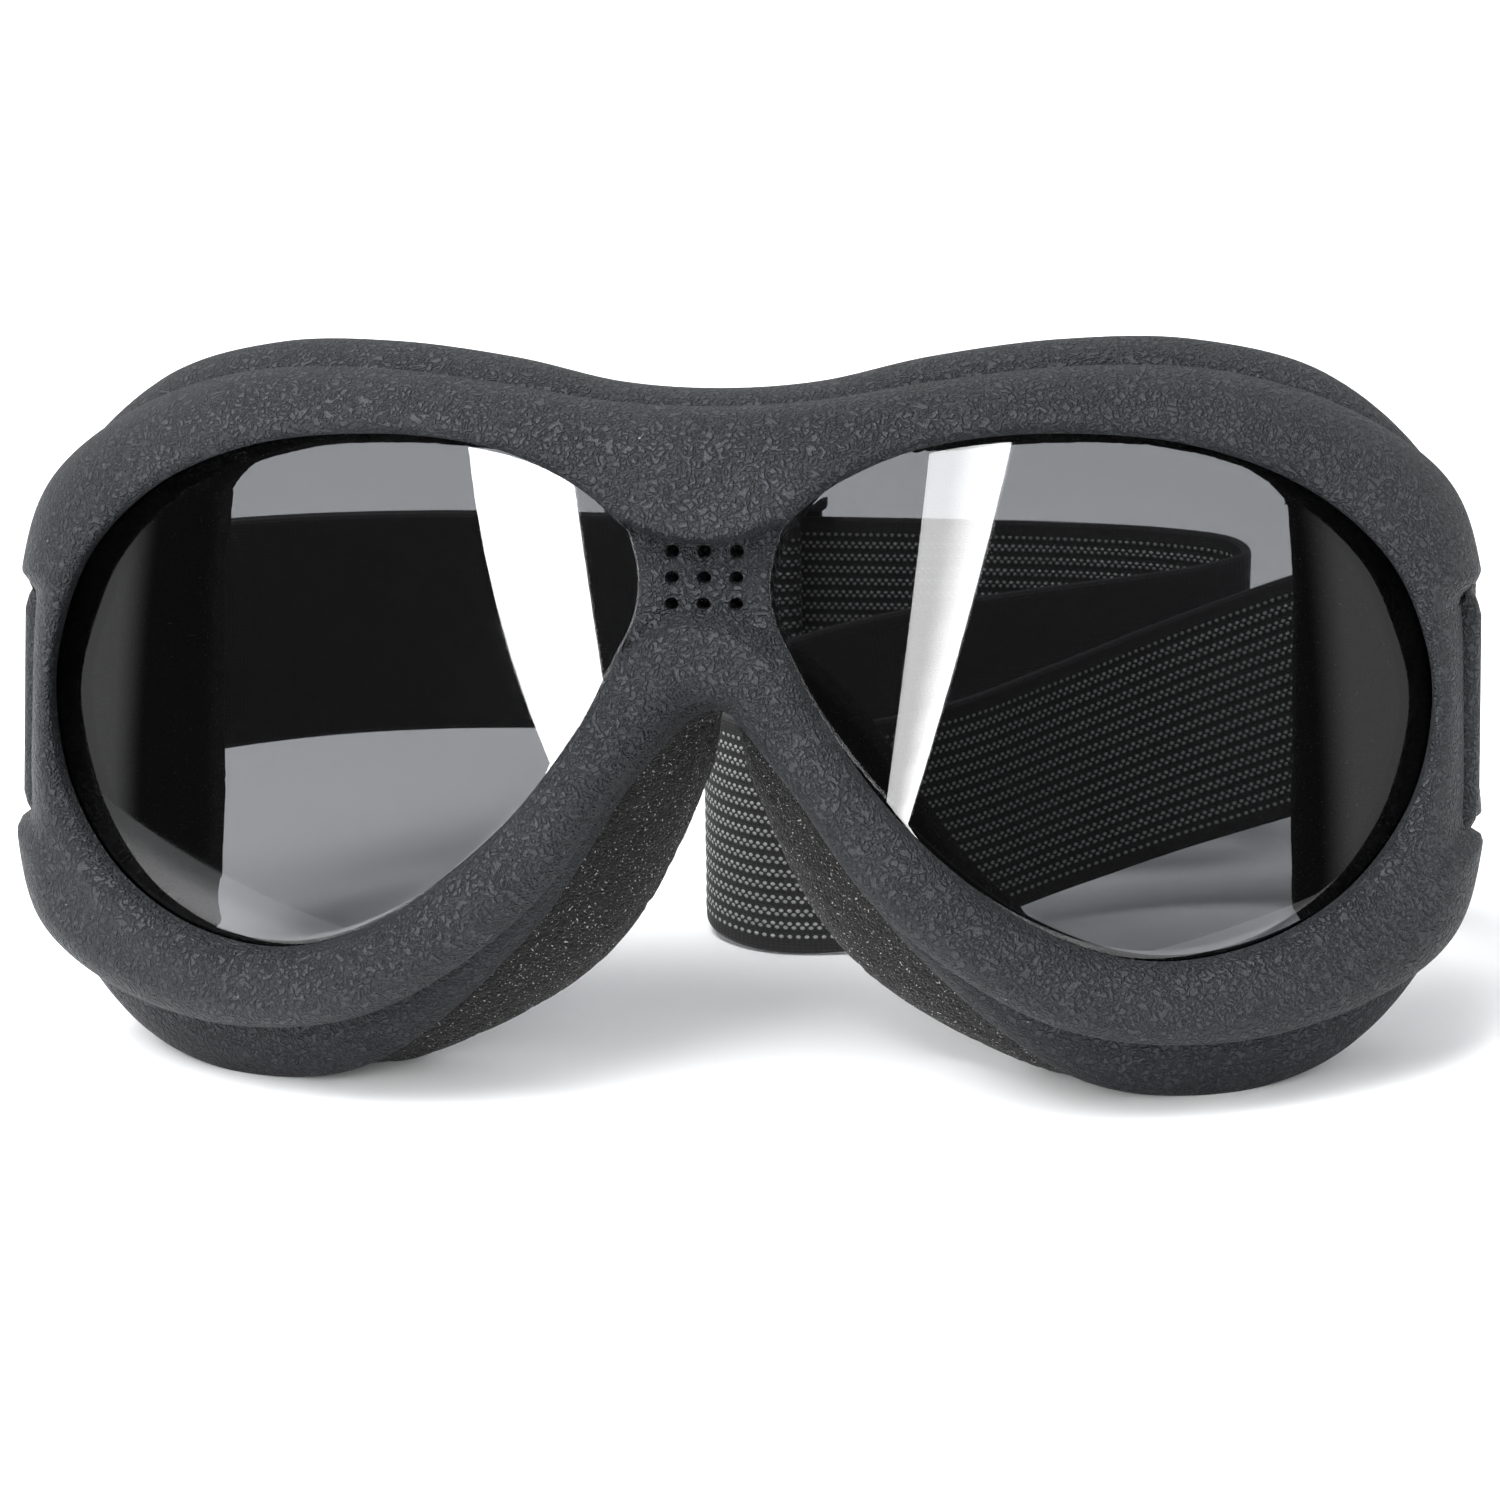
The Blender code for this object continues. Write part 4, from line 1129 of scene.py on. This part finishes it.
def dotted_webbing_surface():
    """Black elastic with rows of pale raised stitches, two staggered lines of them in each row."""
    s = Surface("webbing_dotted")
    along, across = weave_place(s)
    height = knit(s, along, across)
    first = -(DOT_ROWS - 1) / 2 * ROW_PITCH
    row = s.math("ROUND", s.math("DIVIDE", s.math("SUBTRACT", across, first), ROW_PITCH))
    from_row = s.math("SUBTRACT", s.math("SUBTRACT", across, first), s.math("MULTIPLY", row, ROW_PITCH))
    stitches = []
    for lift, shift in ((0.26, 0.0), (-0.26, DOT_PITCH / 2)):
        along_dot = s.math("PINGPONG", s.math("ADD", along, 100.0 * DOT_PITCH + shift), DOT_PITCH / 2)
        far = s.math("DIVIDE", along_dot, 0.31)
        tall = s.math("DIVIDE", s.math("SUBTRACT", from_row, lift), 0.27)
        reach = s.math("SQRT", s.math("ADD", s.math("MULTIPLY", far, far), s.math("MULTIPLY", tall, tall)))
        stitches.append(s.ramp(reach, 1.15, 0.55))
    inside_low = s.math("GREATER_THAN", row, -0.5)
    inside_high = s.math("LESS_THAN", row, DOT_ROWS - 0.5)
    first_row = s.math("GREATER_THAN", row, 0.5)
    last_row = s.math("LESS_THAN", row, DOT_ROWS - 1.5)
    upper = s.math("MULTIPLY", stitches[0], last_row)
    lower = s.math("MULTIPLY", stitches[1], first_row)
    stitch = s.math("MULTIPLY", s.math("MAXIMUM", upper, lower), s.math("MULTIPLY", inside_low, inside_high))
    twist = wave(s, s.math("ADD", along, across), 0.16)
    pale = s.mix(s.math("MULTIPLY", twist, 0.5), (0.40, 0.41, 0.40), (0.24, 0.25, 0.24))
    # painted shade: the black follows the knit's height, darker in its hollows and lighter on its crests
    black = s.mix(height, (0.006, 0.006, 0.0065), (0.020, 0.020, 0.021))
    raised = s.math("MULTIPLY_ADD", stitch, 1.6, s.math("MULTIPLY", height, 0.6))
    s.set(
        Base_Color=s.mix(stitch, black, pale),
        Roughness=s.math("MULTIPLY_ADD", stitch, -0.25, 0.8),
        Normal=s.bump(raised, 0.7, 0.00016),
    )
    return s.material


def thread_surface():
    s = Surface("sewing_thread")
    twist = s.noise(3800.0, 1.0)
    s.set(
        Base_Color=s.mix(twist, (0.012, 0.012, 0.013), (0.035, 0.035, 0.037)),
        Roughness=0.6,
        Normal=s.bump(twist, 0.6, 0.0001),
    )
    return s.material


def plastic_surface():
    """Moulded black plastic with a fine spark texture."""
    s = Surface("slider_plastic")
    spark = s.noise(3000.0, 2.0)
    cloud = s.noise(120.0, 2.0)
    s.set(
        Base_Color=s.mix(cloud, (0.014, 0.014, 0.0155), (0.021, 0.021, 0.0225)),
        Roughness=s.ramp(spark, 0.3, 0.7, 0.32, 0.46),
        Normal=s.bump(spark, 0.25, 0.00005),
    )
    return s.material


# ---- studio ----
FLOOR_RADIUS = 7.0
FLOOR_DROP = 0.00005
# painted light: the floor glows, dim beside the goggles as a painted shadow round them and bright far from
# them
FLOOR_GLOW = (0.04, 0.5)        # emission beside the goggles, and far from them
PANEL_DISTANCE = 1.0
PANEL_ELEVATIONS = (2.0, 34.0)
PANEL_ROWS = 14
MASK_MIDDLE = (0.0, -0.03, 0.04)
LEFT_LENS_FRONT = (-0.02, -0.055, 0.055)
RIGHT_LENS_FRONT = (0.027, -0.055, 0.055)
TENT_SLANT = 0.126              # turns the dark front a little sideways
TENT_EDGE = (-0.48, -0.41)      # from the dark front to the white of the tent, as places along its depth
TENT_GLOW = (0.07, 0.95)
CAMERA_TARGET = Vector((0.0054, -0.0593, 0.0437))
CAMERA_AZIMUTH = 7.0
CAMERA_ELEVATION = 14.0
CAMERA_DISTANCE = 0.400
CAMERA_ROLL = 1.1
CAMERA_LENS = 87.1


def make_floor():
    mesh = bpy.data.meshes.new("floor")
    shape = bmesh.new()
    bmesh.ops.create_circle(shape, cap_ends=True, segments=96, radius=FLOOR_RADIUS)
    shape.to_mesh(mesh)
    shape.free()
    floor = placed("floor", mesh)
    floor.location.z = -FLOOR_DROP
    s = Surface("floor_paint")
    s.set(Base_Color=(0.86, 0.865, 0.875, 1.0), Roughness=0.85, Specular_IOR_Level=0.2)
    from_middle = s.node("ShaderNodeVectorMath", {0: s.place()}, output="Value", operation="LENGTH")
    # painted light and shadow: glow rises from dim under the goggles to bright far from them
    glow = s.ramp(from_middle, 0.08, 0.9, *FLOOR_GLOW)
    s.set(Emission_Color=(0.97, 0.985, 1.0, 1.0), Emission_Strength=glow)
    mesh.materials.append(s.material)


def towards(azimuth, elevation):
    """A direction away from the goggles. Azimuth 0 is in front of them, 90 on their +X side."""
    a, e = radians(azimuth), radians(elevation)
    return Vector((sin(a) * cos(e), -cos(a) * cos(e), sin(e)))


def softbox(name, target, azimuth, elevation, distance, size, power):
    """A rectangular light that faces the target."""
    light = bpy.data.lights.new(name, "AREA")
    light.shape = "RECTANGLE"
    light.size, light.size_y = size
    light.energy = power
    item = placed(name, light)
    away = towards(azimuth, elevation)
    item.location = Vector(target) + away * distance
    item.visible_camera = False
    item.rotation_euler = away.to_track_quat("Z", "Y").to_euler()


def light_panel(name, seen_from, left, right, dim, bright):
    """A glowing panel, at a distance from the place that it is seen from. Its left and right edges are
    azimuths that change with the elevation: a constant, a slope and a curvature each. It glows from dim on
    its left to bright on its right."""
    mesh = bpy.data.meshes.new(name)
    rows = np.linspace(*PANEL_ELEVATIONS, PANEL_ROWS)
    spots = [
        Vector(seen_from) + towards(edge[0] + edge[1] * row + edge[2] * row * row, row) * PANEL_DISTANCE
        for row in rows for edge in (left, right)
    ]
    faces = [(2 * i, 2 * i + 1, 2 * i + 3, 2 * i + 2) for i in range(len(rows) - 1)]
    mesh.from_pydata(spots, [], faces)
    layout = mesh.uv_layers.new(name="panel")
    for loop, corner in zip(mesh.loops, layout.data):
        corner.uv = (loop.vertex_index % 2, 0.0)
    item = placed(name, mesh)
    item.visible_camera = False
    s = Surface(name)
    along, _ = s.split(s.node("ShaderNodeUVMap", uv_map="panel"))
    glow = s.ramp(along, 0.25, 0.95, dim, bright)
    s.set(Base_Color=(0.0, 0.0, 0.0, 1.0), Emission_Color=(1.0, 1.0, 1.0, 1.0), Emission_Strength=glow)
    mesh.materials.append(s.material)


def make_world():
    """A white tent round the goggles, left dark in front so that the lenses stay deep."""
    world = bpy.data.worlds.new("tent")
    world.use_nodes = True
    bpy.context.scene.world = world
    n = Nodes(world.node_tree)
    x, y = n.split(n.node("ShaderNodeTexCoord", output="Generated"))
    background = world.node_tree.nodes["Background"]
    background.inputs["Color"].default_value = (0.98, 0.99, 1.0, 1.0)
    glow = n.ramp(n.math("MULTIPLY_ADD", x, TENT_SLANT, y), *TENT_EDGE, *TENT_GLOW)
    n.plug(background.inputs["Strength"], glow)


def make_camera():
    data = bpy.data.cameras.new("camera")
    data.lens = CAMERA_LENS
    data.sensor_width = 36.0
    data.clip_start, data.clip_end = 0.01, 50.0
    camera = placed("camera", data)
    away = towards(CAMERA_AZIMUTH, CAMERA_ELEVATION)
    aim = away.to_track_quat("Z", "Y").to_matrix().to_4x4()
    roll = Matrix.Rotation(radians(-CAMERA_ROLL), 4, "Z")
    camera.matrix_world = Matrix.Translation(CAMERA_TARGET + away * CAMERA_DISTANCE) @ aim @ roll
    bpy.context.scene.camera = camera


def make_studio():
    make_floor()
    make_world()
    softbox(
        "overhead", MASK_MIDDLE, azimuth=-36.0, elevation=60.0, distance=1.3, size=(0.9, 0.8), power=42.0,
    )
    light_panel(
        "left_panel", LEFT_LENS_FRONT, dim=28.0, bright=30.0,
        left=(-11.5, -1.4, 0.0185), right=(-12.5, -0.3, -0.004),
    )
    light_panel(
        "right_panel", RIGHT_LENS_FRONT, dim=12.0, bright=26.0, left=(7.9, 0.27, 0.0), right=(8.0, 0.63, 0.0),
    )


def main():
    make_camera()
    make_studio()
    make_frame(rubber_surface())
    smoke = lens_surface()
    for name, side, node in (("left_lens", -1, "lens_left"), ("right_lens", 1, "lens_right")):
        lens = make_lens(name, side, smoke)
        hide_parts(node)
        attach(lens, "mask")
    make_foam(foam_surface(
        "open_cell_foam", dark=(0.0045, 0.0044, 0.0042), light=(0.0155, 0.0152, 0.0145), cell=1900.0,
    ))
    make_filter(foam_surface(
        "filter_foam", dark=(0.012, 0.012, 0.012), light=(0.035, 0.034, 0.033), cell=2400.0,
    ))
    make_strap(dotted_webbing_surface(), plain_webbing_surface(), thread_surface())
    make_slider(plastic_surface())
    bpy.context.scene.view_settings.view_transform = "Standard"


main()
